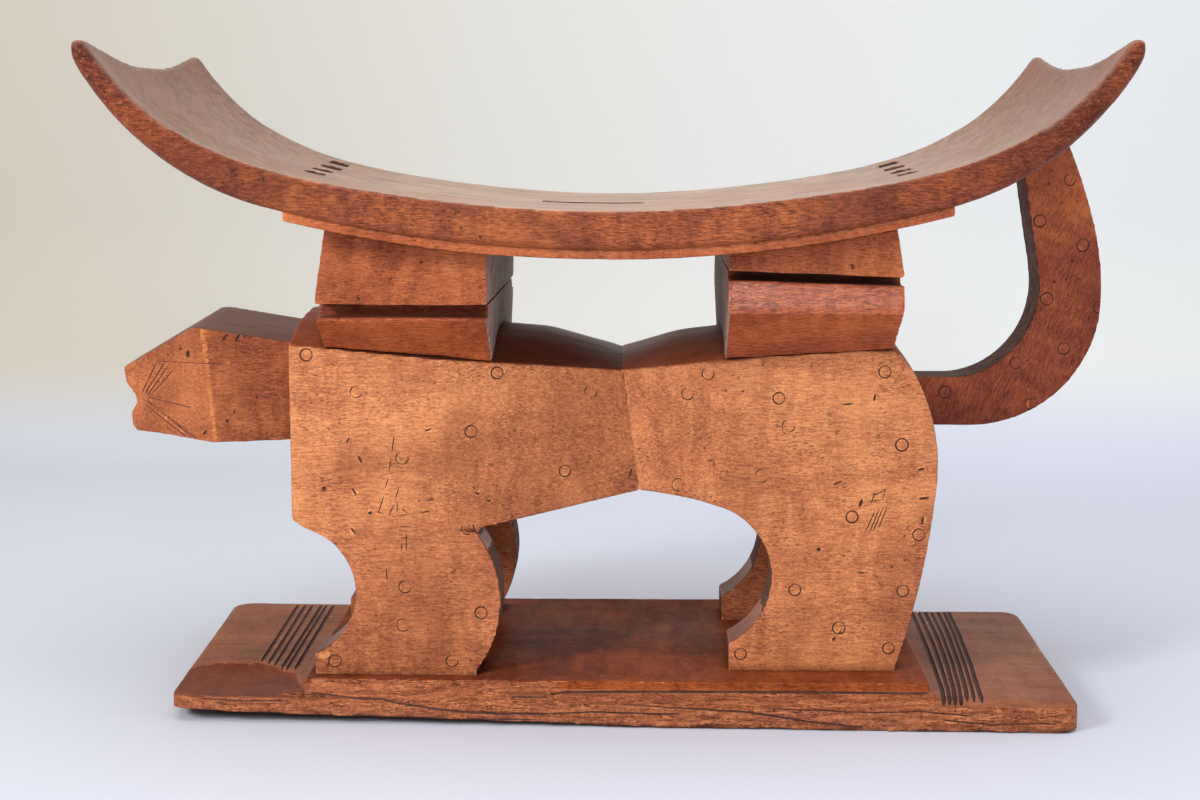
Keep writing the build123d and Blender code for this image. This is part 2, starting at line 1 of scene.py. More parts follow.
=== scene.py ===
import bmesh
import bpy
import json
import math
import random
from mathutils import Matrix, Vector, noise
from mathutils.kdtree import KDTree

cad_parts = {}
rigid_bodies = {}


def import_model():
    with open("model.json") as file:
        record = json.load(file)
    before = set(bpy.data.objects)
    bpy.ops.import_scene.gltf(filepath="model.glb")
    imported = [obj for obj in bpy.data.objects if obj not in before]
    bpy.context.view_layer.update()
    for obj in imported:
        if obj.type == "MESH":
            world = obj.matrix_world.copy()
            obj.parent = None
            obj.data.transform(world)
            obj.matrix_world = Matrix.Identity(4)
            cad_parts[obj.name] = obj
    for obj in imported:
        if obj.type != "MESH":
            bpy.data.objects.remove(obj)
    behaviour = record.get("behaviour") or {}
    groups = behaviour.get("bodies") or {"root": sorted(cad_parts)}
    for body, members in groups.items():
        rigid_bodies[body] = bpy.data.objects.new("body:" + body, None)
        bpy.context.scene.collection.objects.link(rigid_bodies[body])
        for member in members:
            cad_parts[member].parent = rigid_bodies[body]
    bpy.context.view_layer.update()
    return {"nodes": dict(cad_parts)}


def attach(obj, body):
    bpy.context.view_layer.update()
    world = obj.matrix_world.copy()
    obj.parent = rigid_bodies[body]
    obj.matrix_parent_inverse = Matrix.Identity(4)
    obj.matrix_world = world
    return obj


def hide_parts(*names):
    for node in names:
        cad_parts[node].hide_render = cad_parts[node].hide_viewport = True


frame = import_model()

VOXEL = 0.0015          # size of the skin's faces, in metres
SMOOTH_ANGLE = 38       # edges sharper than this, in degrees, are shaded sharp
ANY = 999               # further out, in mm, than any piece reaches
CUT_WOOD = 1            # material slot of faces that a tool has cut
RAW_WOOD = 2            # and of end grain, hollows and splits, which no wax has reached; its grey on the blocks' inner ends, the arches and the tail's edge is partly painted sheen
CHEST = 3               # on the trunk, of the slope above the chest
CREST_HIGHLIGHT = 3               # on the head, of the ridge between cheek and neck, rubbed and with a painted highlight
TREADS = 3              # on the slab, of the raised plate under the feet,
FACET = 4               # of the smooth hollow at the near corner,
RUBBED_HIGHLIGHT = 5              # and of the plate's rubbed edge, with a painted highlight along it


# ---------------------------------------------------------------- small helpers
def mm(*values):
    """A place or a size in millimetres, as the scene's metres."""
    return Vector(values) / 1000


def tone(red, green, blue):
    """A colour given as 0 to 255, as Blender's linear colour."""
    shares = [c / 255 for c in (red, green, blue)]
    linear = [s / 12.92 if s <= 0.04045 else ((s + 0.055) / 1.055) ** 2.4 for s in shares]
    return (*linear, 1.0)


def pick(*objects):
    """Selects only these, with the last one active."""
    bpy.ops.object.select_all(action="DESELECT")
    for each in objects:
        each.select_set(True)
    bpy.context.view_layer.objects.active = objects[-1]


def active():
    """The object that was made or joined last."""
    return bpy.context.view_layer.objects.active


def finish_modifier(piece, kind, **settings):
    """Adds a modifier with these settings and applies it."""
    pick(piece)
    modifier = piece.modifiers.new(kind.title(), kind)
    for key, value in settings.items():
        setattr(modifier, key, value)
    bpy.ops.object.modifier_apply(modifier=modifier.name)


def edit(piece):
    """Opens the piece for editing, with all of it selected."""
    pick(piece)
    bpy.ops.object.mode_set(mode="EDIT")
    bpy.ops.mesh.select_mode(type="VERT")
    bpy.ops.mesh.select_all(action="SELECT")


def leave_edit():
    bpy.ops.object.mode_set(mode="OBJECT")


def settle(piece):
    """Puts the object at the origin, unturned and unscaled, with its place in its mesh."""
    pick(piece)
    bpy.ops.object.transform_apply(location=True, rotation=True, scale=True)


def triangles(piece):
    return sum(len(p.vertices) - 2 for p in piece.data.polygons)


# ---------------------------------------------------------------- roughing out and smoothing
def rough_out(name, *nodes):
    """The block a piece is carved from: the frame's solids, joined and with their doubles merged."""
    blocks = []
    for node in nodes:
        block = bpy.data.objects.new(name, frame["nodes"][node].data.copy())
        bpy.context.scene.collection.objects.link(block)
        block.data.materials.clear()
        blocks.append(block)
    pick(*blocks)
    if len(blocks) > 1:
        bpy.ops.object.join()
    block = active()
    block.name = name
    edit(block)
    bpy.ops.mesh.remove_doubles(threshold=0.000002)
    bpy.ops.mesh.normals_make_consistent(inside=False)
    leave_edit()
    return block


def keep_outer_skin(piece):
    """Deletes whatever isn't joined to the piece's outermost point, such as closed joints inside."""
    mesh = piece.data
    edit(piece)
    bpy.ops.mesh.select_all(action="DESELECT")
    leave_edit()
    outermost = max(mesh.vertices, key=lambda v: abs(v.co.x))
    outermost.select = True
    bpy.ops.object.mode_set(mode="EDIT")
    bpy.ops.mesh.select_linked()
    bpy.ops.mesh.select_all(action="INVERT")
    bpy.ops.mesh.delete(type="VERT")
    leave_edit()


def hand_texture(name, size):
    texture = bpy.data.textures.new(name, "CLOUDS")
    texture.noise_scale = size
    texture.noise_depth = 2
    return texture


def arrises(block, wanted):
    """Points up to 3 mm apart on the sharp edges for which wanted(middle, normal, other normal) is true."""
    form = bmesh.new()
    form.from_mesh(block.data)
    points = []
    for line in form.edges:
        if len(line.link_faces) != 2:
            continue
        one, other = (face.normal for face in line.link_faces)
        start, end = (v.co for v in line.verts)
        if one.dot(other) < 0.995 and wanted((start + end) / 2, one, other):
            count = max(1, math.ceil((end - start).length / 0.003))
            points += [start.lerp(end, i / count) for i in range(count + 1)]
    form.free()
    return points


def ease(piece, points, reach, rounds):
    """Rubs down the skin within reach of these points, the nearest most."""
    near = KDTree(len(points))
    for i, point in enumerate(points):
        near.insert(point, i)
    near.balance()
    group = piece.vertex_groups.new(name="rubbed")
    for v in piece.data.vertices:
        share = 1.6 * (1 - near.find(v.co)[2] / reach)
        if share > 0:
            group.add([v.index], min(1.0, share), "REPLACE")
    finish_modifier(piece, "SMOOTH", factor=0.5, iterations=rounds, vertex_group="rubbed")
    piece.vertex_groups.clear()


def let_in(piece, facing, depth, z, x=(-ANY, ANY)):
    """Sinks the face that meets a neighbour, in this reach of x and z, into it, so that the joint closes."""
    low, high = mm(x[0], -ANY, z[0]), mm(x[1], ANY, z[1])
    moved = [
        v.index for v in piece.data.vertices
        if v.normal.dot(facing) > 0.6 and all(a <= c <= b for a, c, b in zip(low, v.co, high))
    ]
    for i in moved:
        piece.data.vertices[i].co += facing * depth / 1000


def skin(piece, voxel=VOXEL, softness=3):
    """Turns the block into one even skin of small faces, its edges a little eased."""
    finish_modifier(piece, "REMESH", mode="VOXEL", voxel_size=voxel, adaptivity=0.0)
    keep_outer_skin(piece)
    finish_modifier(piece, "SMOOTH", factor=0.5, iterations=softness)


def tool_marks(piece, hollows=0.0007, keep=0.5):
    """Leaves the faces uneven, as an adze and a scraper do, and keeps this share of the skin's faces."""
    for texture, depth in ((adze_marks, hollows), (scraper_marks, hollows / 4)):
        finish_modifier(
            piece, "DISPLACE", texture=texture, texture_coords="LOCAL", strength=depth, mid_level=1.0
        )
    finish_modifier(piece, "DECIMATE", decimate_type="COLLAPSE", ratio=keep)


def wood_up(piece, *woods):
    piece.data.materials.clear()
    for wood in woods:
        piece.data.materials.append(wood)


def turn_to(piece, slot, wanted):
    """Gives another wood to the faces for which wanted(middle in mm, normal) is true."""
    for face in piece.data.polygons:
        if face.material_index == 0 and wanted(face.center * 1000, face.normal):
            face.material_index = slot


# ---------------------------------------------------------------- tool cuts
NEAR = Vector((0, 1, 0))        # a tool held against the near flank works along +Y
FAR = Vector((0, -1, 0))
DOWN = Vector((0, 0, -1))
UP = Vector((0, 0, 1))
FROM_TAIL = Vector((-1, 0, 0))
FROM_HEAD = Vector((1, 0, 0))
OUTSIDE = 0.45                  # a distance, in metres, at which a tool is clear of every piece


def touch(piece, place, along):
    """Where a line through the place meets the piece, coming from outside, and the outward normal there."""
    start = Vector([0 if a else p for a, p in zip(along, place)]) - along * OUTSIDE
    hit, found, normal, _ = piece.ray_cast(start, along)
    return (found, normal) if hit else None


def ring_tool(place, normal, bite_side, radius, line, lean):
    """A ring punch that stands on the surface and leans, so that it bites deeper on one side."""
    bpy.ops.mesh.primitive_torus_add(
        rotation=normal.to_track_quat("Z", "Y").to_euler(),
        major_radius=radius,
        minor_radius=line,
        major_segments=30,
        minor_segments=6,
    )
    tool = active()
    tilt = Matrix.Rotation(lean, 4, normal.cross(bite_side))
    tool.matrix_world = Matrix.Translation(place + normal * 0.0001) @ tilt @ tool.matrix_world
    settle(tool)
    return tool


def gouge(places, width):
    """A thin round gouge drawn along these places."""
    line = bpy.data.curves.new("gouge", "CURVE")
    line.dimensions = "3D"
    line.bevel_depth = width
    line.bevel_resolution = 1
    line.use_fill_caps = True
    spline = line.splines.new("POLY")
    spline.points.add(len(places) - 1)
    for i, place in enumerate(places):
        spline.points[i].co = (*place, 1)
        spline.points[i].radius = 0.35 if i in (0, len(places) - 1) else 1
    tool = bpy.data.objects.new("gouge", line)
    bpy.context.scene.collection.objects.link(tool)
    pick(tool)
    bpy.ops.object.convert(target="MESH")
    tool = active()
    edit(tool)
    bpy.ops.mesh.remove_doubles(threshold=0.000001)
    bpy.ops.mesh.normals_make_consistent(inside=False)
    leave_edit()
    return tool


def bite(place, normal, size, turn):
    """A small lens-shaped bite of a blade: half its length, half its width and its depth, in mm."""
    bpy.ops.mesh.primitive_ico_sphere_add(subdivisions=2, radius=1)
    tool = active()
    facing = normal.to_track_quat("Z", "Y").to_matrix().to_4x4()
    shape = Matrix.Diagonal((*mm(*size), 1))
    tool.matrix_world = Matrix.Translation(place) @ facing @ Matrix.Rotation(turn, 4, "Z") @ shape
    settle(tool)
    return tool


def cut(piece, tools, slot=CUT_WOOD):
    """Takes the tools out of the piece, all at once. The faces they leave get this slot's wood."""
    if not tools:
        return
    pick(*tools)
    if len(tools) > 1:
        bpy.ops.object.join()
    tool = active()
    wood_up(tool, *piece.data.materials)
    for face in tool.data.polygons:
        face.material_index = slot
    finish_modifier(piece, "BOOLEAN", operation="DIFFERENCE", object=tool, solver="MANIFOLD")
    bpy.data.objects.remove(tool)


def stamp(piece, places, side=NEAR, seed=1):
    """Punches rings at (x, z, boldness) on a flank. Faint ones lean more, so only an arc shows."""
    draw = random.Random(seed)
    tools = []
    for x, z, bold in places:
        found = touch(piece, mm(x, 0, z), side)
        around = math.radians(draw.uniform(165, 260))
        low_side = Vector((math.cos(around), 0, math.sin(around)))
        lean = math.radians(draw.uniform(1.0, 3.5) + 7 * (1 - bold))
        size = draw.uniform(0.0034, 0.0038)
        if found:
            tools.append(ring_tool(*found, low_side, size, 0.00034 + 0.0002 * bold, lean))
    cut(piece, tools)


def score(piece, lines, along=NEAR, every=3.0, slot=CUT_WOOD):
    """Cuts thin lines: each is (half its width in mm, point, point, ...), with points in mm."""
    tools = []
    for width, *points in lines:
        places = []
        for start, end in zip(points, points[1:]):
            start, end = Vector(start), Vector(end)
            count = max(1, round((end - start).length / every))
            places += [touch(piece, start.lerp(end, i / count) / 1000, along) for i in range(count)]
        places.append(touch(piece, Vector(points[-1]) / 1000, along))
        places = [found[0] + found[1] * width / 5000 for found in places if found]
        if len(places) > 1:
            tools.append(gouge(places, width / 1000))
    cut(piece, tools, slot)


def nick(piece, marks, along=NEAR):
    """Small bites: each is (point, half length, half width, depth, turn in degrees), in mm."""
    tools = []
    for point, length, width, depth, turn in marks:
        found = touch(piece, Vector(point) / 1000, along)
        if found:
            tools.append(bite(*found, (length, width, depth), math.radians(turn)))
    cut(piece, tools)


def flat(*pairs):
    """Points on a flank from x and z alone."""
    return [(x, 0, z) for x, z in pairs]


def level(table, at):
    """Reads a table of (place, value) at a place, with straight lines between its rows."""
    if at <= table[0][0]:
        return table[0][1]
    for (a, low), (b, high) in zip(table, table[1:]):
        if at <= b:
            return low + (high - low) * (at - a) / (b - a)
    return table[-1][1]


def ragged(x, y, z, fine=1.0):
    """Uneven splits that run with the grain: about -1 to 1, at a place in mm."""
    place = Vector((x * 0.035 * fine, y * 0.22 * fine, z * 0.3 * fine))
    return noise.fractal(place, 0.7, 2.1, 4)


# ---------------------------------------------------------------- materials
SHADE_AND_DIRT_REACH = 0.012      # dirt and painted shade gather in corners narrower than this, in metres
DEEP = 0.42             # pores, specks, and the dirt and painted shade in hollows, as a share of the wood's dark tone
PORES = 0.55            # how strongly the open pores show
SPECKS = 0.7            # and the dark specks
GRAIN_BUMP = 0.3
WAX_SPECULAR = 0.35


class Bench:
    """Lays out the nodes of a material or a group."""

    def __init__(self, tree):
        self.tree = tree

    def node(self, kind, **settings):
        made = self.tree.nodes.new("ShaderNode" + kind)
        for key, value in settings.items():
            setattr(made, key, value)
        return made

    def plug(self, sockets, values):
        for socket, value in zip(sockets, values):
            if hasattr(value, "is_output"):
                self.tree.links.new(value, socket)
            else:
                socket.default_value = value

    def feed(self, made, **values):
        """Joins sockets, or sets them, by name."""
        self.plug([made.inputs[key.replace("_", " ")] for key in values], values.values())
        return made

    def noise(self, vector, scale, detail=3.0, roughness=0.5, distortion=0.0):
        made = self.node("TexNoise")
        self.feed(made, Vector=vector, Scale=scale, Detail=detail, Roughness=roughness, Distortion=distortion)
        return made.outputs["Fac"]

    def stretch(self, vector, scale, turn=(0.0, 0.0, 0.0), shift=(0.0, 0.0, 0.0)):
        made = self.node("Mapping")
        return self.feed(made, Vector=vector, Scale=scale, Rotation=turn, Location=shift).outputs["Vector"]

    def between(self, value, low, high, out_low=0.0, out_high=1.0):
        made = self.node("MapRange", interpolation_type="SMOOTHSTEP", clamp=True)
        made = self.feed(made, Value=value, From_Min=low, From_Max=high, To_Min=out_low, To_Max=out_high)
        return made.outputs["Result"]

    def sums(self, operation, *values):
        made = self.node("Math", operation=operation)
        self.plug(made.inputs, values)
        return made.outputs[0]

    def blend(self, share, under, over, how="MIX"):
        made = self.node("Mix", data_type="RGBA", blend_type=how)
        self.plug((made.inputs[0], made.inputs[6], made.inputs[7]), (share, under, over))
        return made.outputs[2]

    def lay(self, under, share, amount, over):
        """Lays a colour over another, by share times amount."""
        return self.blend(self.sums("MULTIPLY", share, amount), under, over)

    def group(self, tree, **values):
        return self.feed(self.node("Group", node_tree=tree), **values).outputs

    def axis(self, vector, name):
        split = self.node("SeparateXYZ")
        return self.feed(split, Vector=vector).outputs[name]


def new_group(name, *gives):
    """An empty node group from a Vector to these values, with its bench, its input and its output node."""
    tree = bpy.data.node_groups.new(name, "ShaderNodeTree")
    tree.interface.new_socket("Vector", in_out="INPUT", socket_type="NodeSocketVector")
    for label in gives:
        tree.interface.new_socket(label, in_out="OUTPUT", socket_type="NodeSocketFloat")
    source = tree.nodes.new("NodeGroupInput")
    target = tree.nodes.new("NodeGroupOutput")
    return tree, Bench(tree), source.outputs["Vector"], target


def make_wood_grain():
    """Growth bands, curly mottle, fine fibre and short open pores, for a grain that runs along X."""
    tree, bench, place, out = new_group("wood_grain", "Figure", "Mottle", "Fibre", "Pores")
    bands = bench.noise(bench.stretch(place, (7.0, 26.0, 30.0)), 1.0, 3.0, 0.55, 0.6)
    ripple = bench.noise(bench.stretch(place, (95.0, 28.0, 28.0)), 1.0, 2.0, 0.5, 0.8)
    mottle = bench.noise(bench.stretch(place, (620.0, 950.0, 950.0)), 1.0, 3.0, 0.75, 0.8)
    fibre = bench.noise(bench.stretch(place, (150.0, 1100.0, 1100.0)), 1.0, 2.0, 0.6)
    dashes = bench.noise(bench.stretch(place, (300.0, 1300.0, 1300.0)), 1.0, 0.0)
    patches = bench.noise(place, 45.0, 1.0)
    open_pores = bench.between(dashes, 0.58, 0.72)
    pores = bench.sums("MULTIPLY", open_pores, bench.between(patches, 0.35, 0.7, 0.15, 1.0))
    figure = bench.sums("MULTIPLY", bench.between(bands, 0.25, 0.75), 0.6)
    figure = bench.sums("MULTIPLY_ADD", bench.between(ripple, 0.3, 0.7), 0.4, figure)
    mottle, fibre = bench.between(mottle, 0.25, 0.75), bench.between(fibre, 0.3, 0.7)
    bench.feed(out, Figure=figure, Mottle=mottle, Fibre=fibre, Pores=pores)
    return tree


def make_handling():
    """Dark specks, broad stains and uneven polish left by use."""
    tree, bench, place, out = new_group("handling_marks", "Specks", "Stains", "Polish")
    spots = bench.noise(place, 260.0, 1.0)
    clusters = bench.noise(place, 26.0, 2.0)
    specks = bench.sums("MULTIPLY", bench.between(spots, 0.66, 0.74), bench.between(clusters, 0.5, 0.66))
    stains = bench.between(bench.noise(place, 16.0, 5.0, 0.65, 0.5), 0.42, 0.72)
    bench.feed(out, Specks=specks, Stains=stains, Polish=bench.noise(place, 9.0, 2.0))
    return tree


def make_wear_and_shade():
    """Rubbed edges, dirt and painted shade (ambient occlusion) in corners and hollows, and faces that look
    up.
    """
    tree, bench, place, out = new_group("wear_dirt_and_shade", "Edge", "Hollow", "Upward")
    surface = bench.node("NewGeometry").outputs
    broken = bench.noise(place, 150.0, 3.0, 0.6)
    edge = bench.between(bench.sums("MULTIPLY_ADD", broken, 0.06, surface["Pointiness"]), 0.56, 0.62)
    # ambient occlusion: the darkening it gives is painted shade, laid in with the dirt
    shade = bench.node("AmbientOcclusion", samples=6)
    bench.feed(shade, Distance=SHADE_AND_DIRT_REACH)
    closed = bench.sums("MULTIPLY_ADD", broken, 0.25, shade.outputs["AO"])
    upward = bench.between(bench.axis(surface["Normal"], "Z"), 0.15, 0.95)
    bench.feed(out, Edge=edge, Hollow=bench.between(closed, 0.78, 0.42), Upward=upward)
    return tree


wood_grain = make_wood_grain()
handling_marks = make_handling()
wear_dirt_and_shade = make_wear_and_shade()


def principled(name):
    """A new material, its bench and its shader."""
    made = bpy.data.materials.new(name)
    made.use_nodes = True
    tree = made.node_tree
    return made, Bench(tree), tree.nodes["Principled BSDF"]


def ramp_of(bench, value, *stops):
    """A colour for the value, from (position, tone) stops."""
    made = bench.node("ValToRGB")
    elements = made.color_ramp.elements
    elements[0].position, elements[0].color = stops[0][0], tone(*stops[0][1])
    elements[1].position, elements[1].color = stops[-1][0], tone(*stops[-1][1])
    for position, colour in stops[1:-1]:
        elements.new(position).color = tone(*colour)
    return bench.feed(made, Fac=value).outputs["Color"]


def carved_wood(name, light, middle, dark, turn=(0.0, 0.0, 0.0), shift=(0.0, 0.0, 0.0), figure=0.5,
                mottle=0.45, fibre=0.3, stains=0.35, top=0.5, top_tone=(120, 84, 66), dirt_and_shade=0.8, rubbed=0.5,
                rubbed_tone=None, shine=0.42, fade=(), ends=None, flecks=None, patches=0.12, streaks=0.2,
                index=1.33):
    """Waxed reddish hardwood with open pores, rubbed edges, and dirt and painted shade in its corners.

    top is how far faces that look up take the top_tone, which paints light: painted shade on the dark backs
    and a painted sheen on the pale tops of the seat and the slab, streaked as by wear. fade has (axis, start,
    end, amount) rows that lighten the wood along an axis, or darken it with a negative amount; on the flank,
    the haunch, the tail and the rear block they are painted light and shade. ends is (start, end, share,
    tone), which tints the wood towards both ends, and flecks is (start, end, share), which rubs it bright
    there. index is the wax's."""
    made, bench, shader = principled(name)
    whole = bench.node("TexCoord").outputs["Object"]

    def towards_ends(start, end, low, high):
        reach = bench.sums("ABSOLUTE", bench.axis(whole, "X"))
        return bench.between(reach, start, end, low, high)

    place = bench.stretch(whole, (1.0, 1.0, 1.0), turn, shift)
    grain = bench.group(wood_grain, Vector=place)
    use = bench.group(handling_marks, Vector=place)
    wear_and_shade = bench.group(wear_dirt_and_shade, Vector=place)
    depth = 0.5 - (figure + mottle + fibre) / 2
    for share, part in ((figure, "Figure"), (mottle, "Mottle"), (fibre, "Fibre")):
        depth = bench.sums("MULTIPLY_ADD", grain[part], share, depth)
    broad = bench.between(bench.noise(place, 8.0, 2.0, 0.5, 0.3), 0.3, 0.7, -patches, patches)
    depth = bench.sums("ADD", depth, broad)
    # fade: painted light and shade along an axis, where a material is given it
    for name_of_axis, start, end, amount in fade:
        rise = bench.between(bench.axis(whole, name_of_axis), start, end, -amount, amount)
        depth = bench.sums("ADD", depth, rise)
    shown = ramp_of(bench, depth, (0.05, dark), (0.5, middle), (0.98, light))
    deep = tone(*[c * DEEP for c in dark])
    shown = bench.lay(shown, use["Stains"], stains, tone(*dark))
    shown = bench.lay(shown, grain["Pores"], PORES, deep)
    lines = bench.noise(bench.stretch(place, (14.0, 260.0, 260.0)), 1.0, 5.0, 0.65)
    # the top tone for faces that look up: painted shade on dark backs, painted sheen on pale tops, streaked
    # as by wear
    top_light_and_wear = bench.sums("MULTIPLY", grain["Mottle"], 0.4)
    top_light_and_wear = bench.sums("MULTIPLY_ADD", bench.between(lines, 0.34, 0.62), 0.6, top_light_and_wear)
    low, high = ([min(255, c * share) for c in top_tone] for share in (1 - streaks, 1.17))
    top_light_and_wear = bench.blend(top_light_and_wear, tone(*low), tone(*high))
    shown = bench.lay(shown, wear_and_shade["Upward"], top, top_light_and_wear)
    if ends:
        start, end, share, end_tone = ends
        shown = bench.blend(towards_ends(start, end, 0.0, share), shown, tone(*end_tone), "MULTIPLY")
    shown = bench.lay(shown, use["Specks"], SPECKS, deep)
    # dirt and painted shade in corners and hollows, from ambient occlusion
    shown = bench.lay(shown, wear_and_shade["Hollow"], dirt_and_shade, deep)
    lit = tone(*(rubbed_tone or [min(255, c * 1.1) for c in light]))
    if flecks:
        start, end, share = flecks
        worn = bench.noise(bench.stretch(place, (260.0, 480.0, 480.0)), 1.0, 6.0, 0.8, 0.3)
        worn = bench.sums("MULTIPLY", bench.between(worn, 0.5, 0.7), towards_ends(start, end, 0.2, share))
        side_on = bench.sums("SUBTRACT", 1.0, wear_and_shade["Upward"])
        shown = bench.lay(shown, worn, side_on, lit)
    shown = bench.lay(shown, wear_and_shade["Edge"], rubbed, lit)
    gloss = bench.between(use["Polish"], 0.3, 0.7, shine - 0.06, shine + 0.08)
    gloss = bench.sums("MULTIPLY_ADD", wear_and_shade["Hollow"], 0.3, gloss)
    height = bench.sums("MULTIPLY_ADD", grain["Pores"], -0.8, bench.sums("MULTIPLY", grain["Mottle"], 0.4))
    height = bench.sums("MULTIPLY_ADD", grain["Fibre"], 0.25, height)
    raised = bench.node("Bump")
    bench.feed(raised, Strength=GRAIN_BUMP, Distance=0.0004, Height=height)
    bench.feed(shader, Base_Color=shown, Roughness=gloss, Normal=raised.outputs["Normal"])
    shader.inputs["Specular IOR Level"].default_value = WAX_SPECULAR
    shader.inputs["IOR"].default_value = index
    return made


def raw_wood(name, light, middle, dark, grain=(35.0, 260.0, 420.0), cracks=0.8, bump=0.6):
    """Wood that was split or cut across and never waxed: dry, rough and cracked along its grain."""
    made, bench, shader = principled(name)
    place = bench.node("TexCoord").outputs["Object"]
    along = bench.stretch(place, grain)
    fibres = bench.noise(along, 1.0, 5.0, 0.7, 0.5)
    lumps = bench.noise(place, 110.0, 4.0, 0.65)
    crumbs = bench.noise(place, 520.0, 3.0, 0.7)
    beside = bench.stretch(along, (1.4, 1.3, 1.3), shift=(3.1, 1.7, 0.4))
    splits = bench.noise(beside, 1.0, 3.0, 0.6, 1.4)
    narrow = bench.sums("ABSOLUTE", bench.sums("SUBTRACT", splits, 0.5))
    open_cracks = bench.sums("MULTIPLY", bench.between(narrow, 0.028, 0.0), bench.between(lumps, 0.4, 0.62))
    depth = bench.sums("MULTIPLY", bench.between(fibres, 0.25, 0.75), 0.42)
    depth = bench.sums("MULTIPLY_ADD", bench.between(lumps, 0.3, 0.7), 0.3, depth)
    depth = bench.sums("MULTIPLY_ADD", bench.between(crumbs, 0.28, 0.72), 0.28, depth)
    shown = ramp_of(bench, depth, (0.12, dark), (0.5, middle), (0.88, light))
    wear_and_shade = bench.group(wear_dirt_and_shade, Vector=place)
    deep = tone(*[c * 0.4 for c in dark])
    shown = bench.lay(shown, open_cracks, cracks, deep)
    # dirt and painted shade in corners and hollows, from ambient occlusion
    shown = bench.lay(shown, wear_and_shade["Hollow"], 0.7, deep)
    height = bench.sums("MULTIPLY_ADD", open_cracks, -1.0, depth)
    raised = bench.node("Bump")
    bench.feed(raised, Strength=bump, Distance=0.0006, Height=height)
    bench.feed(shader, Base_Color=shown, Roughness=0.65, Normal=raised.outputs["Normal"])
    shader.inputs["Specular IOR Level"].default_value = 0.2
    shader.inputs["IOR"].default_value = 1.25
    return made


def cut_wood(name, colour):
    """Grimy wood at the bottom of a tool cut, darkened also as painted shade in the cut."""
    made, bench, shader = principled(name)
    place = bench.node("TexCoord").outputs["Object"]
    dirt_and_shade = bench.between(bench.noise(place, 300.0, 2.0), 0.3, 0.7)
    shown = bench.blend(dirt_and_shade, tone(*colour), tone(*[c * 1.6 for c in colour]))
    bench.feed(shader, Base_Color=shown, Roughness=0.7)
    return made


FLANK_TONES = ((244, 164, 106), (196, 118, 76), (134, 70, 46))
# The flank's dark top_tone is painted shade on the back; its fade darkens it towards the waist and lightens
# it upward, as painted shade and light.
flank_wood = carved_wood(
    "flank_wood", *FLANK_TONES, top=0.9, top_tone=(78, 38, 24), figure=0.4, mottle=0.5, stains=0.4,
    patches=0.16, fade=(("X", -0.1, 0.02, -0.07), ("Z", 0.03, 0.19, 0.08)),
)
# The haunch's top_tone is painted shade on the back; its fade lightens it upward, as painted light.
haunch_wood = carved_wood(
    "haunch_wood", *FLANK_TONES, top=0.85, top_tone=(116, 60, 38), figure=0.4, mottle=0.5, stains=0.4,
    patches=0.14, shift=(0.3, 0.1, 0.2), fade=(("Z", 0.05, 0.18, 0.05),),
)
chest_wood = carved_wood(
    "chest_wood", (216, 130, 80), (172, 92, 58), (112, 50, 33), top=0.45, top_tone=(112, 58, 38), mottle=0.5
)
# The head's darker top_tone is painted shade on its top.
head_wood = carved_wood(
    "head_wood", (214, 130, 82), (172, 98, 64), (118, 57, 38), top=0.9, top_tone=(116, 78, 60),
    shift=(0.4, 0, 0), index=1.2, mottle=0.5, stains=0.5, fade=(("X", -0.26, -0.2, -0.08),),
)
# A worn, brighter wood that is also a painted highlight: the bright line along the ridge between cheek and
# neck, and along the plate's near edge.
worn_crest_highlight = carved_wood("worn_crest_highlight", (228, 148, 92), (206, 124, 74), (168, 90, 54), index=1.2)
# The tail's fade lightens its upper part: painted light.
tail_wood = carved_wood(
    "tail_wood", (206, 116, 68), (160, 80, 49), (100, 42, 28), turn=(0, 1.2, 0), stains=0.6, top=0.3,
    fade=(("Z", 0.16, 0.2, 0.1), ("Z", 0.24, 0.31, 0.12)),
)
upper_block_wood = carved_wood(
    "upper_block_wood", (224, 134, 82), (182, 97, 58), (118, 53, 32), shift=(0.1, 0, 0.3), figure=0.6
)
lower_block_wood = carved_wood(
    "lower_block_wood", (214, 118, 68), (172, 83, 48), (106, 44, 27), shift=(0.2, 0, 0.1), shine=0.34,
    fibre=0.5, dirt_and_shade=0.5,
)
# The rear block's fade lightens its upper facet: a painted highlight.
rear_block_wood = carved_wood(
    "rear_block_wood", (214, 118, 72), (170, 82, 50), (102, 42, 26), shift=(0.5, 0, 0.2), shine=0.26,
    fibre=0.5, index=1.6, fade=(("Z", 0.225, 0.25, 0.06),),
)
# The seat's pale top_tone is a painted sheen on its top, with worn streaks.
seat_wood = carved_wood(
    "seat_wood", (200, 112, 66), (150, 76, 47), (84, 38, 27), top=0.8, top_tone=(194, 164, 142), stains=0.75,
    ends=(0.1, 0.27, 1.0, (212, 198, 192)), flecks=(0.17, 0.28, 0.6), rubbed=0.8, rubbed_tone=(204, 126, 78),
    fibre=0.5, streaks=0.38,
)
pad_wood = carved_wood("pad_wood", (216, 126, 76), (176, 90, 54), (114, 50, 31), top=0.2, shine=0.3)
# The slab's paler top_tone is a painted sheen on its top.
base_wood = carved_wood(
    "base_wood", (198, 124, 86), (160, 92, 62), (102, 52, 36), top=0.45, top_tone=(146, 102, 78), stains=0.55,
    index=1.15, shine=0.45, figure=0.65,
)
facet_wood = carved_wood("facet_wood", (158, 86, 58), (128, 62, 40), (84, 36, 24), top=0.2, index=1.15)
tread_wood = carved_wood(
    "tread_wood", (186, 98, 54), (138, 66, 36), (84, 36, 20), top=0.1, shine=0.42, index=1.08, figure=0.65
)
groove_dirt_and_shade = cut_wood("groove_dirt_and_shade", (58, 28, 18))
scratch_dirt_and_shade = cut_wood("scratch_dirt_and_shade", (84, 38, 24))
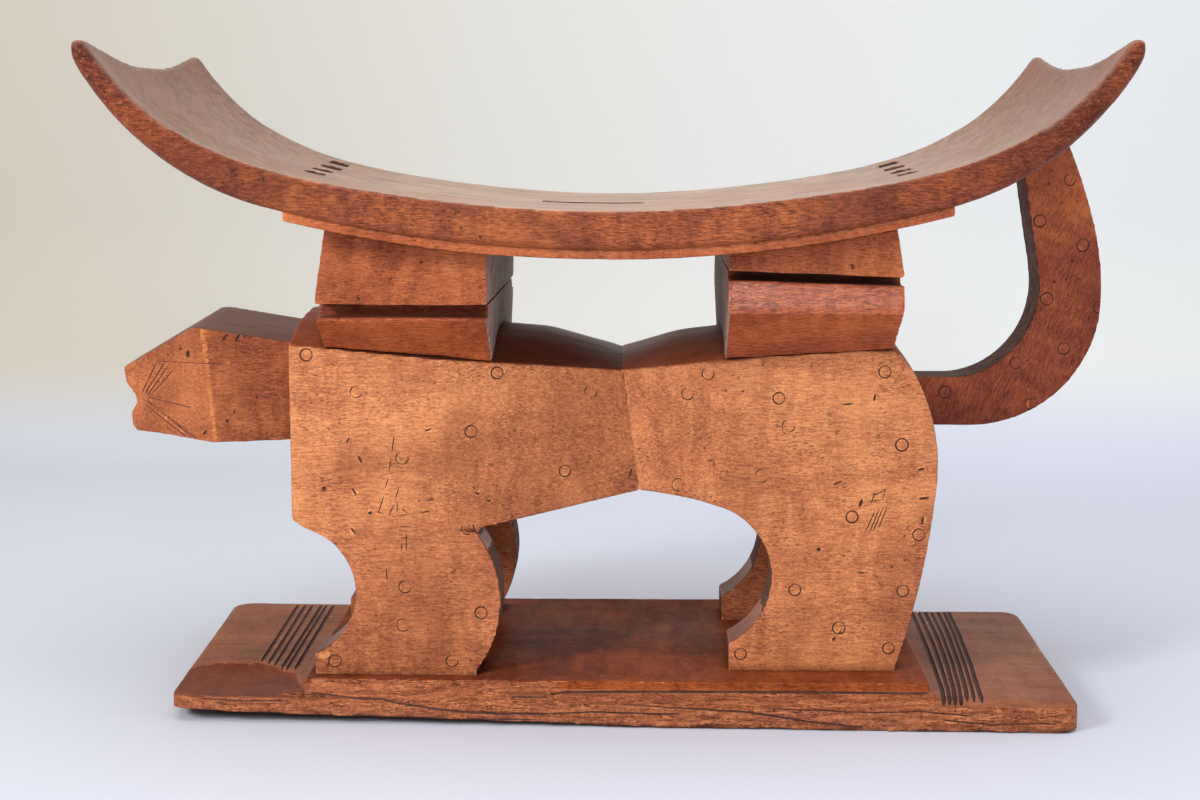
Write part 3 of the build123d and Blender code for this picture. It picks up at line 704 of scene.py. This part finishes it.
# The blocks' raw inner ends: painted paler and greyer than the wood, as painted light and sheen where the
# lamps barely reach.
inner_block_raw_and_sheen = raw_wood(
    "inner_block_raw_and_sheen", (214, 194, 178), (168, 148, 134), (88, 66, 55), grain=(200.0, 300.0, 26.0)
)
# Raw wood of the arches and the tail's edge: its grey is partly painted sheen.
arch_raw_and_sheen = raw_wood("arch_raw_and_sheen", (146, 106, 82), (108, 72, 54), (64, 38, 28), cracks=0.4)
tail_edge_raw_and_sheen = raw_wood("tail_edge_raw_and_sheen", (176, 154, 140), (130, 108, 96), (72, 52, 44), cracks=0.6)
split_wood = raw_wood("split_wood", (226, 146, 98), (176, 104, 72), (92, 46, 32), cracks=0.9, bump=1.0)


# ---------------------------------------------------------------- the pieces
adze_marks = hand_texture("adze_marks", 0.055)
scraper_marks = hand_texture("scraper_marks", 0.009)

NEAR_FORE_RINGS = (
    (-177.3, 215.4, 0.9), (-148.1, 193.5, 0.3), (-65.2, 204.1, 0.9), (-80.6, 169.6, 0.9),
    (-121.4, 154.1, 0.4), (-82.8, 111.0, 0.7), (-120.6, 75.9, 0.6), (-75.1, 60.2, 0.9), (-122.1, 52.5, 0.3),
    (-163.4, 30.0, 0.8), (-92.8, 30.5, 0.6), (-9.9, 191.6, 0.3), (-25.4, 143.7, 0.6),
)
NEAR_HIND_RINGS = (
    (47.9, 190.7, 0.5), (59.9, 203.5, 0.4), (101.9, 189.3, 0.8), (107.8, 172.8, 0.3), (92.4, 142.6, 0.3),
    (42.6, 135.2, 0.3), (164.2, 205.3, 0.7), (175.2, 161.7, 1.0), (146.4, 118.0, 0.9), (186.5, 107.3, 0.7),
    (113.0, 73.2, 0.8), (177.7, 73.0, 0.7), (139.8, 49.9, 0.8), (80.8, 33.4, 0.8), (169.8, 37.5, 0.8),
)
NEAR_TAIL_RINGS = (
    (264.5, 291.6, 0.9), (291.3, 276.9, 0.8), (270.3, 243.6, 0.8), (302.4, 238.7, 0.7), (281.8, 212.9, 0.8),
    (252.4, 203.8, 0.6), (209.0, 185.4, 0.9), (262.5, 178.1, 0.6), (282.0, 316.7, 0.3),
)
FORE_SCRATCHES = [
    (0.4, *flat(*line)) for line in (
        ((-125.9, 167.9), (-127.5, 157.0)), ((-127.8, 154.0), (-129.4, 145.8)),
        ((-129.9, 142.0), (-131.5, 136.0)), ((-132.5, 131.0), (-136.1, 120.8)),
        ((-123.4, 136.6), (-125.9, 128.8)), ((-124.7, 127.5), (-124.7, 121.0)),
        ((-121.8, 124.5), (-119.0, 120.5)), ((-124.0, 119.5), (-117.5, 119.8)),
        ((-123.0, 112.5), (-116.5, 112.8)), ((-122.5, 105.5), (-118.0, 105.8)),
        ((-119.6, 108.8), (-119.4, 97.6)), ((-122.3, 102.0), (-116.4, 102.0)),
        ((-122.3, 98.0), (-122.3, 103.0)), ((-131.8, 87.2), (-131.3, 79.1)),
        ((-137.4, 122.0), (-133.0, 120.4)), ((-130.0, 119.0), (-126.5, 126.0)),
    )
]
FORE_NICKS = [
    ((x, 0, z), *shape) for x, z, *shape in (
        (-153.3, 164.8, 1.9, 0.6, 0.5, 60), (-146.4, 153.1, 2.4, 0.8, 0.6, 115),
        (-150.2, 133.6, 2.6, 0.7, 0.5, 120), (-140.9, 120.8, 1.3, 1.0, 0.6, 0),
        (-151.2, 110.0, 2.2, 0.7, 0.5, 125), (-168.1, 135.2, 1.6, 1.5, 0.6, 90),
        (-105.7, 171.0, 2.3, 0.6, 0.4, 20), (-77.2, 132.1, 1.7, 0.8, 0.4, 170),
        (-70.5, 127.3, 1.4, 0.7, 0.4, 0), (-107.5, 121.6, 2.4, 0.5, 0.4, 10),
        (14.0, 141.0, 3.0, 0.8, 0.5, 75),
    )
]
HIND_SCRATCHES = [
    (0.4, *flat(*line)) for line in (
        ((160.2, 122.0), (154.3, 108.3)), ((162.6, 123.0), (156.8, 108.0)), ((165.0, 124.0), (159.0, 109.0)),
        ((167.3, 124.0), (162.3, 111.0)), ((158.5, 131.0), (166.5, 134.5)), ((157.0, 127.5), (164.0, 128.5)),
        ((160.0, 133.5), (157.5, 126.0)), ((166.2, 135.0), (164.2, 128.0)),
    )
]
HIND_NICKS = [
    ((x, 0, z), *shape) for x, z, *shape in (
        (151.5, 126.5, 2.6, 1.0, 0.7, 70), (187.0, 147.0, 2.2, 0.9, 0.6, 15),
        (189.0, 129.5, 3.4, 0.8, 0.6, 5), (137.5, 138.5, 3.0, 0.7, 0.5, 25), (143.0, 186.0, 3.2, 0.6, 0.4, 5),
        (158.5, 190.0, 2.4, 0.7, 0.5, 80), (127.0, 98.0, 1.4, 1.2, 0.5, 0), (153.0, 84.0, 2.4, 0.6, 0.4, 0),
        (136.8, 43.0, 1.3, 1.0, 0.6, 30), (140.3, 47.0, 1.7, 0.6, 0.4, 60), (188.5, 116.0, 2.8, 0.8, 0.6, 85),
    )
]


def far_rings(places, seed):
    """The far flank's rings: as many, and spread much the same, but not in the same places."""
    draw = random.Random(seed)
    return [(x + draw.uniform(-6, 6), z + draw.uniform(-5, 5), draw.uniform(0.4, 1)) for x, z, _ in places]


WAIST_TOP = (9.0, 204)      # x and z of the crease where the two halves of the trunk meet
WAIST_LEAN = 0.1383         # its run towards the tail for each mm down
WAIST_SIDES = (-50.3, 70.3)
WAIST_STEPS = (126, 135, 150, 170, 190, 205, 214, 219)
WAIST_GOUGE = 0.0009
SHOULDER = (-158, 204)      # x and z where the waxed slope above the chest begins
ARCH_TOP = 178              # faces that look to the head or the tail were left raw up to here, in a greyer wood that is partly painted sheen


def waist_line(z):
    """How far along the trunk its crease is, by height."""
    return WAIST_TOP[0] + (WAIST_TOP[1] - z) * WAIST_LEAN


def back_edges(middle, one, other):
    """The long edges of the flats across the back, away from the waist."""
    up = min(one.z, other.z) > 0.15 and max(one.z, other.z) > 0.35
    return up and middle.z > 0.17 and abs(middle.x - 0.012) > 0.014


def body_half(name, wood, to_waist, rings, scratches, nicks, seed, *nodes):
    """One half of the trunk with its two legs."""
    piece = rough_out(name, *nodes)
    back = arrises(piece, back_edges)
    skin(piece)
    ease(piece, back, 0.015, 80)
    let_in(piece, DOWN, 3.5, z=(-1, 26))
    let_in(piece, to_waist, 0.9, z=(100, 250), x=(4, 27))
    tool_marks(piece, keep=0.45)
    wood_up(piece, wood, groove_dirt_and_shade, arch_raw_and_sheen, chest_wood)
    cut(piece, [gouge([mm(waist_line(z), y, z) for z in WAIST_STEPS], WAIST_GOUGE) for y in WAIST_SIDES])

    def on_shoulder(at, normal):
        return at.x < SHOULDER[0] and at.z > SHOULDER[1] and normal.z > 0.1

    def in_arch(at, normal):
        return abs(normal.y) < 0.5 and normal.z < 0.45 and at.z < ARCH_TOP

    turn_to(piece, CHEST, on_shoulder)
    turn_to(piece, RAW_WOOD, in_arch)
    stamp(piece, rings, seed=seed)
    score(piece, scratches)
    nick(piece, nicks)
    stamp(piece, far_rings(rings, seed), FAR, seed=seed + 1)
    return piece


def forequarters():
    marks = NEAR_FORE_RINGS, FORE_SCRATCHES, FORE_NICKS, 3
    nodes = "forequarters", "front_leg_near", "front_leg_far"
    return body_half("forequarters_carved", flank_wood, FROM_HEAD, *marks, *nodes)


def hindquarters():
    marks = NEAR_HIND_RINGS, HIND_SCRATCHES, HIND_NICKS, 24
    nodes = "hindquarters", "hind_leg_near", "hind_leg_far"
    return body_half("hindquarters_carved", haunch_wood, FROM_TAIL, *marks, *nodes)


def tail():
    piece = rough_out("tail_carved", "tail")
    skin(piece)
    let_in(piece, UP, 1.5, z=(290, 345), x=(230, 300))
    tool_marks(piece, keep=0.6)
    wood_up(piece, tail_wood, groove_dirt_and_shade, tail_edge_raw_and_sheen)
    turn_to(piece, RAW_WOOD, lambda at, normal: abs(normal.y) < 0.5)
    stamp(piece, NEAR_TAIL_RINGS, seed=5)
    stamp(piece, far_rings(NEAR_TAIL_RINGS[:7], 6), FAR, seed=6)
    return piece


# lines of the face, on one cheek: half their width, then (x, z) along each
FACE_LINES = (
    (0.5, (-290.7, 183.9), (-278.2, 205.2)), (0.55, (-288.7, 183.4), (-272.6, 205.5)),
    (0.5, (-286.9, 182.9), (-270.0, 203.6)), (0.42, (-284.0, 183.5), (-267.0, 201.0)),
    (0.42, (-287.0, 182.2), (-256.0, 177.5)), (0.58, (-288.8, 180.8), (-252.9, 158.0)),
    (0.52, (-288.4, 177.0), (-259.5, 158.1)), (0.48, (-287.0, 180.8), (-256.5, 158.4)),
    (0.4, (-276.0, 165.5), (-266.8, 158.7)), (0.3, (-279.0, 205.5), (-232.0, 205.9)),
)
EYE = (-256.5, 211.1, 2.3, 1.5, 0.9, 75)
CREST_NICKS = (
    (-232.4, 221.8, 3.0, 0.9, 0.8, 55), (-224.9, 221.6, 3.1, 0.9, 0.8, 60),
    (-220.4, 222.6, 1.6, 0.8, 0.6, 65), (-217.0, 222.2, 1.0, 0.6, 0.5, 65),
    (-247.5, 162.5, 2.2, 0.9, 0.6, 40), (-233.0, 170.0, 1.2, 1.0, 0.5, 0), (-228.5, 176.0, 1.2, 0.6, 0.4, 80),
    (-214.0, 185.0, 1.6, 0.6, 0.4, 90),
)


CREST_TOP = (-246.2, 227.0)     # x and z of the upper end of the ridge between cheek and neck
CREST_LEAN = 0.0822             # its run towards the tail for each mm down


def on_crest(at):
    """Whether a place lies on the ridge between cheek and neck, rubbed and given a painted highlight."""
    ridge = CREST_TOP[0] + (CREST_TOP[1] - at.z) * CREST_LEAN
    return abs(at.x - ridge + 0.5 * ragged(0, 0, at.z * 2)) < 1.25 + 0.5 * ragged(at.z * 12, 0, 0)


def head():
    piece = rough_out("head_carved", "head")
    skin(piece, voxel=0.001, softness=2)
    let_in(piece, FROM_HEAD, 2.5, z=(100, 250), x=(-196, -180))
    tool_marks(piece, keep=0.5)
    wood_up(piece, head_wood, groove_dirt_and_shade, scratch_dirt_and_shade, worn_crest_highlight)
    # the ridge between cheek and neck: worn, with a painted highlight
    turn_to(piece, CREST_HIGHLIGHT, lambda at, normal: abs(normal.y) > 0.7 and on_crest(at))
    for side in (NEAR, FAR):
        score(piece, [(width, *flat(*line)) for width, *line in FACE_LINES], side, slot=RAW_WOOD)
        nick(piece, [((x, 0, z), *shape) for x, z, *shape in (EYE, *CREST_NICKS)], side)
    return piece


# near and far face, height of the lip along x, and height of the ridge of the front lower block
FRONT_LIPS = (-110, 120, ((-170, 241), (-60, 242)), 231)


def plane_lips(piece, near_y, far_y, lips, ridge):
    """Planes the top of a lower block down towards its near and far lips, and gives its faces a low ridge."""
    for v in piece.data.vertices:
        x, y, z = v.co * 1000
        back = min(y - near_y, far_y - y)
        lip = level(lips, x)
        if z > lip - 4 and back < 13:
            z = min(z, lip - 2.4 + 0.62 * back + 0.5 * ragged(x, 0, 0))
        if back < 6:
            inward = (0.16 if z > ridge else 0.09) * abs(z - ridge) * max(0.0, 1 - back / 6)
            y += inward if y < 0 else -inward
        v.co = mm(x, y, z)


def block(node, wood, inner, shape=None):
    """A neck block. Its inner end, towards the middle of the stool, was never waxed; its pale grey wood is
    also painted light and sheen, paler than the wood is.
    """
    piece = rough_out(node + "_carved", node)
    skin(piece)
    if shape:
        plane_lips(piece, *shape)
        skin(piece, softness=1)
    let_in(piece, DOWN, 1.0, z=(190, 290))
    tool_marks(piece, hollows=0.0012, keep=0.5)
    wood_up(piece, wood, groove_dirt_and_shade, inner_block_raw_and_sheen)
    turn_to(piece, RAW_WOOD, lambda at, normal: normal.x * inner > 0.7)
    return piece


SLOT_ROWS = (-0.186, 0.186)
BLIND_SLOTS = (-0.119, -0.085, -0.051, -0.017)     # only the far half of each row is cut right through
PLUG = (0.02, 0.02, 0.016)
PLUG_DEPTH = 0.0085             # from the seat's top down to the plug's middle
SLOT_SPAN = (172, 200)          # where the slots are along the seat, and the hole, in mm
HOLE_SPAN = (-45, 25)
HOLE_Y = 12


def plug_slots(piece):
    """Fills the slots of the near half with wood again."""
    plugs = []
    for x in SLOT_ROWS:
        for y in BLIND_SLOTS:
            ends = [touch(piece, Vector((x + side * 0.012, y, 0)), DOWN) for side in (-1, 1)]
            height = (ends[0][0].z + ends[1][0].z) / 2
            lean = math.asin((ends[0][1].x + ends[1][1].x) / 2)
            bpy.ops.object.select_all(action="DESELECT")
            middle = (x, y, height - PLUG_DEPTH)
            bpy.ops.mesh.primitive_cube_add(size=1, location=middle, scale=PLUG)
            plug = active()
            plug.rotation_euler = (0, lean, 0)
            plug.data.materials.clear()
            settle(plug)
            plugs.append(plug)
    pick(*plugs, piece)
    bpy.ops.object.join()


def seat_ends(middle, one, other):
    """Every edge around the seat's two ends."""
    return abs(middle.x) > 0.245 and one.dot(other) < 0.9


def under_edges(middle, one, other):
    """The lower edges of the seat's long rims."""
    low, side = sorted((one, other), key=lambda n: n.z)
    return low.z < -0.4 and abs(side.y) > 0.7 and abs(middle.y) > 0.12


def in_slot(at, normal):
    """Whether a face is a wall of a slot or of the hole."""
    in_row = SLOT_SPAN[0] < abs(at.x) < SLOT_SPAN[1]
    in_hole = HOLE_SPAN[0] < at.x < HOLE_SPAN[1] and abs(at.y - HOLE_Y) < 14
    return (in_row or in_hole) and abs(at.y) < 132 and abs(normal.z) < 0.55


def seat():
    piece = rough_out("seat_carved", "seat")
    ends = arrises(piece, seat_ends)
    under = arrises(piece, under_edges)
    plug_slots(piece)
    skin(piece)
    ease(piece, ends, 0.009, 36)
    ease(piece, under, 0.008, 26)
    tool_marks(piece, keep=0.4)
    wood_up(piece, seat_wood, groove_dirt_and_shade)
    turn_to(piece, CUT_WOOD, in_slot)
    return piece


def seat_pad():
    piece = rough_out("seat_pad_carved", "seat_pad")
    skin(piece, softness=2)
    let_in(piece, UP, 2.2, z=(190, 390))
    tool_marks(piece, keep=0.4)
    wood_up(piece, pad_wood, groove_dirt_and_shade)
    return piece


# ---------------------------------------------------------------- the worn slab
FRONT = (-108.0, -118.0)            # y of the slab's near edge, at its head end and at its tail end
SLAB_ENDS = (-257.5, 276.5)
SLAB_TOP = 18.0
TREAD_TOP = 24.0
# the far rim of the smooth hollow at the near corner: (x, y)
LEDGE = (
    (-262, -60), (-252, -46), (-244, -38), (-216, -34), (-202, -49), (-191, -58), (-183, -88), (-176, -104),
)
# how far the near edge is worn clear of the floor: (x, height)
LIFT = (
    (-262, 8.6), (-250, 8.2), (-223, 6.7), (-192, 5.7), (-169, 4.6), (-114, 4.2), (-52, 2.5), (0, 0.8),
    (40, 0.0),
)
CHIP = (-192, -178)                 # x of the chip that still stands beside the hollow
CHIP_BACK = (6, 17)                 # how far behind the near edge it stands
CHIP_RISE = 1.6
RIM_DEPTH = 2.2                     # of the hollow at its rim, and what its middle adds
MIDDLE_DEPTH = 2.6
CORNER = (-257, 24)                 # x where the hollow runs out, and the length in which it does
SPLIT_END = -30                     # the plate's edge is split away from the head's end up to here
SPLIT_SLOPE = 0.62
SPLIT_STEP = 2.2                    # the wood split off in steps of this height
PLATE_EDGE = (-96.3, 190)           # y of the plate's whole near edge, and x of its tail end
ROUNDING = (-247, 0.06)             # where the slab's near corner starts to turn, and how fast
SLAB_GROOVES = (
    (1.45, (-219.1, 112.3), (-216.4, -33.6)), (1.45, (-213.9, 112.5), (-211.2, -38.1)),
    (1.3, (-209.0, 112.6), (-206.6, -42.6)), (1.45, (-202.7, 112.8), (-201.0, -49.3)),
    (1.3, (-199.2, 112.9), (-197.5, -51.5)), (1.45, (-194.3, 113.0), (-192.3, -52.7)),
    (1.55, (206.9, 108.0), (204.2, 16.3), (201.8, -38.5), (199.9, -84.5), (197.1, -113.0)),
    (1.45, (211.5, 108.0), (209.5, 22.0), (206.4, -36.0), (203.4, -84.5), (200.5, -113.4)),
    (1.55, (216.0, 107.0), (214.2, 28.0), (210.6, -34.0), (206.8, -84.4), (203.5, -114.0)),
    (1.3, (220.3, 107.0), (218.2, 32.0), (214.4, -32.0), (210.3, -84.4), (206.9, -114.6)),
    (1.55, (224.8, 106.0), (222.4, 36.0), (218.3, -30.0), (214.0, -84.3), (210.3, -115.2)),
    (1.3, (229.0, 106.0), (226.4, 40.0), (222.1, -28.0), (217.8, -84.2), (214.4, -116.0)),
    (1.55, (232.0, 105.0), (229.8, 42.3), (225.9, -26.3), (221.4, -84.0), (219.3, -117.2)),
)
FRONT_CRACKS = (
    (1.0, (-58, 16.6), (-20, 17.2), (20, 17.7), (90, 17.9), (191, 18.0)),
    (
        0.8, (-176, 16.5), (-150, 14.8), (-132, 14.5), (-118, 12.5), (-106, 11.0), (-84, 8.5), (-62, 7.8),
        (-33, 8.0),
    ),
    (0.6, (-33, 8.0), (-8, 9.5), (20, 9.0), (44, 8.8)),
    (0.7, (8, 13.5), (44, 12.5), (85, 10.5), (118, 5.5), (150, 2.5)),
    (0.5, (90, 13.0), (140, 11.5), (185, 12.0), (214, 10.0)), (0.5, (-120, 5.5), (-90, 4.0), (-40, 4.5)),
    (0.5, (195, 7.5), (225, 5.0), (262, 6.0)), (0.4, (-240, 14.5), (-215, 13.6), (-186, 13.8)),
)


def front_edge(x):
    return level(tuple(zip(SLAB_ENDS, FRONT)), x)


def worn_height(x, y):
    """How high the slab and its plate still stand at this place, where their near edge has broken away."""
    edge = front_edge(x)
    back = y - edge
    rough = ragged(x, y, 0)
    ledge = level(LEDGE, x)
    if x < CHIP[1] and y < ledge + 1.2 * ragged(x * 2, 0, 0):
        if x > CHIP[0] and CHIP_BACK[0] < back < CHIP_BACK[1]:
            return SLAB_TOP + CHIP_RISE + 0.6 * rough
        share = min(1.0, max(0.0, (ledge - y) / (ledge - edge)))
        deep = 0.25 + 0.75 * min(1.0, max(0.0, (x - CORNER[0]) / CORNER[1]))
        bowl = MIDDLE_DEPTH * math.sin(math.pi * share) ** 0.8 * (1 - share)
        return SLAB_TOP - deep * (RIM_DEPTH + bowl) - 0.2 * rough
    if x < SPLIT_END + 8 * rough:
        fade = min(1.0, max(0.0, (SPLIT_END - x) / 40))
        fall = max(0.0, 16 + 5 * fade + 2.5 * rough - back)
        stepped = round(fall * SPLIT_SLOPE / SPLIT_STEP) * SPLIT_STEP
        hollow = 1.8 * fade * max(0.0, 1 - abs(back - 32) / 30)
        split = 0.55 * fall * SPLIT_SLOPE + 0.45 * stepped
        torn = 0.5 * max(0.0, rough) if fall > 0 else 0.0
        return TREAD_TOP + 0.2 - hollow - split - torn
    if y < PLATE_EDGE[0] and x < PLATE_EDGE[1]:
        return SLAB_TOP - 0.4 - 0.3 * (17 - back) + 0.8 * rough
    if back < 12:
        return SLAB_TOP - 0.35 * (12 - back) + 0.7 * rough
    return TREAD_TOP + 1


def wear_down(piece):
    """Breaks away the slab's near edge and lifts its worn underside, point by point."""
    for v in piece.data.vertices:
        x, y, z = v.co * 1000
        back = y - front_edge(x)
        if back > 90:
            continue
        height = worn_height(x, y)
        lift = level(LIFT, x) * max(0.0, 1 - back / 45)
        z = max(min(z, height), lift)
        if z < SLAB_TOP + 0.5 and back < 12:
            give = 1.6 + 1.5 * ragged(x, 0, z * 1.5) + 0.5 * ragged(x, 0, z, 4)
            give += ROUNDING[1] * max(0.0, ROUNDING[0] - x) ** 2
            y = max(y, front_edge(x) + give)
        v.co = mm(x, y, z)


def slab():
    """The base and the plate under the feet, with the near edge split and worn."""
    piece = rough_out("base_worn", "base", "plinth")
    skin(piece, softness=1)
    wear_down(piece)
    skin(piece, voxel=0.0013, softness=1)
    tool_marks(piece, hollows=0.001, keep=0.4)
    wood_up(piece, base_wood, groove_dirt_and_shade, split_wood, tread_wood, facet_wood, worn_crest_highlight)

    # the plate's near edge: worn, with a painted highlight along it
    def rubbed(at, normal):
        return -52 < at.x < 191 and at.y < -93.9 and at.z > 23.1 + 0.6 * ragged(*at)

    def hollowed(at, normal):
        return at.x < CHIP[1] and at.y < level(LEDGE, at.x) and at.z > 8 and normal.z > 0.3

    def broken(at, normal):
        back = at.y - front_edge(at.x)
        if (back < 5 and at.z < 15.5) or (normal.y < -0.6 and at.z < 17):
            return back < 14
        if at.x < -176:
            return at.x > -193 and back < 18 and at.z > 16.5 and normal.z < 0.9 and at.z < 21
        if at.x < -28:
            return back < 24 and at.z < 22.6 and normal.z < 0.985
        return at.x < 196 and at.y < -95.6 and at.z < 18

    turn_to(piece, RUBBED_HIGHLIGHT, rubbed)
    turn_to(piece, RAW_WOOD, broken)
    turn_to(piece, TREADS, lambda at, normal: at.z > SLAB_TOP + 0.8)
    turn_to(piece, FACET, hollowed)
    score(piece, [(w, *[(x, y, 0) for x, y in line]) for w, *line in SLAB_GROOVES], DOWN, every=8.0)
    score(piece, [(w, *flat(*line)) for w, *line in FRONT_CRACKS], NEAR, every=4.0)
    return piece


def dress(piece, *nodes, slot="body_wood"):
    """Gives a finished piece its shading and its place in the record."""
    pick(piece)
    bpy.ops.object.shade_smooth_by_angle(angle=math.radians(SMOOTH_ANGLE))
    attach(piece, "root")
    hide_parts(*nodes)
    print(piece.name, triangles(piece), "triangles")


dress(forequarters(), "forequarters", "front_leg_near", "front_leg_far")
dress(hindquarters(), "hindquarters", "hind_leg_near", "hind_leg_far")
dress(head(), "head")
dress(tail(), "tail")
dress(block("front_lower_block", lower_block_wood, 1, FRONT_LIPS), "front_lower_block")
dress(block("front_upper_block", upper_block_wood, 1), "front_upper_block")
dress(block("rear_lower_block", rear_block_wood, -1), "rear_lower_block")
dress(block("rear_upper_block", upper_block_wood, -1), "rear_upper_block")
dress(seat_pad(), "seat_pad", slot="seat_wood")
dress(seat(), "seat", slot="seat_wood")
dress(slab(), "base", "plinth", slot="base_wood")


# ---------------------------------------------------------------- floor, wall and light
SHEET_SIZE = (4.0, 2.0, 1.0)        # half its width and half its length on the floor
SHEET_BACK = -1.0                   # the floor's middle
WALL_HEIGHT = 2.6
BEND = 0.25                         # radius of the turn from floor to wall


def sweep():
    """A pale sheet that lies on the floor and turns up into the wall behind."""
    bpy.ops.mesh.primitive_plane_add(size=2, location=(0, 0, 0))
    sheet = active()
    sheet.name = "pale_sweep"
    edit(sheet)
    bpy.ops.transform.resize(value=SHEET_SIZE)
    bpy.ops.transform.translate(value=(0, SHEET_BACK, 0))
    bpy.ops.mesh.select_all(action="DESELECT")
    leave_edit()
    for corner in sheet.data.vertices:
        corner.select = corner.co.y > 0
    bpy.ops.object.mode_set(mode="EDIT")
    bpy.ops.mesh.select_mode(type="EDGE")
    bpy.ops.mesh.extrude_region_move(TRANSFORM_OT_translate={"value": (0, 0, WALL_HEIGHT)})
    leave_edit()
    for line in sheet.data.edges:
        ends = [sheet.data.vertices[i].co for i in line.vertices]
        line.select = all(e.y > 0 and e.z < 0.01 for e in ends)
    bpy.ops.object.mode_set(mode="EDIT")
    bpy.ops.mesh.bevel(offset=BEND, segments=16, affect="EDGES")
    bpy.ops.mesh.select_all(action="SELECT")
    bpy.ops.mesh.normals_make_consistent(inside=False)
    leave_edit()
    pick(sheet)
    bpy.ops.object.shade_smooth()
    settle(sheet)
    made, bench, shader = principled("pale_sheet")
    place = bench.node("TexCoord").outputs["Object"]
    # the sheet darkens and warms towards the left: painted shade of the light's falloff
    side = bench.between(bench.axis(place, "X"), -0.9, 0.5)
    rise = bench.between(bench.axis(place, "Z"), 0.0, 0.1)
    wall = bench.blend(side, tone(206, 198, 182), tone(234, 236, 234))
    floor = bench.blend(side, tone(208, 214, 224), tone(222, 226, 242))
    bench.feed(shader, Base_Color=bench.blend(rise, floor, wall), Roughness=0.9)
    sheet.data.materials.append(made)


def lamp(name, place, target, size, power, colour=(1.0, 1.0, 1.0)):
    """A square softbox that faces the target. Size in metres, power in watts."""
    light = bpy.data.lights.new(name, "AREA")
    light.shape = "SQUARE"
    light.size = size
    light.energy = power
    light.color = colour
    holder = bpy.data.objects.new(name, light)
    holder.location = place
    holder.rotation_euler = (Vector(target) - Vector(place)).to_track_quat("-Z", "Y").to_euler()
    bpy.context.scene.collection.objects.link(holder)


sweep()
world = bpy.data.worlds.new("soft_room")
bpy.context.scene.world = world
world.use_nodes = True
room = world.node_tree.nodes["Background"].inputs
room["Color"].default_value = tone(252, 250, 248)
room["Strength"].default_value = 0.5
lamp("front_softbox", (0.15, -1.75, 0.85), (0, 0.1, 0.2), 0.28, 5)
lamp("left_softbox", (-1.25, -1.2, 1.0), (0, 0, 0.2), 0.45, 19)
lamp("right_fill", (1.5, -0.5, 0.7), (0, 0, 0.2), 0.6, 4, (0.86, 0.93, 1.0))
lamp("overhead_softbox", (0, -0.2, 1.9), (0, 0.1, 0.2), 1.4, 12)

CAMERA_PLACE = (0.023175, -1.229286, 0.349524)
CAMERA_RIGHT = Vector((0.99971860, 0.02370566, 0.00087442))
CAMERA_UP = Vector((-0.00413227, 0.13773195, 0.99046092))
CAMERA_LENS = 59.225

camera = bpy.data.objects.new("camera", bpy.data.cameras.new("camera"))
camera.data.sensor_width = 36
camera.data.lens = CAMERA_LENS
camera.data.clip_start = 0.05
camera.location = CAMERA_PLACE
axes = (CAMERA_RIGHT, CAMERA_UP, CAMERA_RIGHT.cross(CAMERA_UP))
camera.rotation_euler = Matrix(axes).transposed().to_euler()
bpy.context.scene.collection.objects.link(camera)
bpy.context.scene.camera = camera

bpy.context.scene.view_settings.view_transform = "Standard"
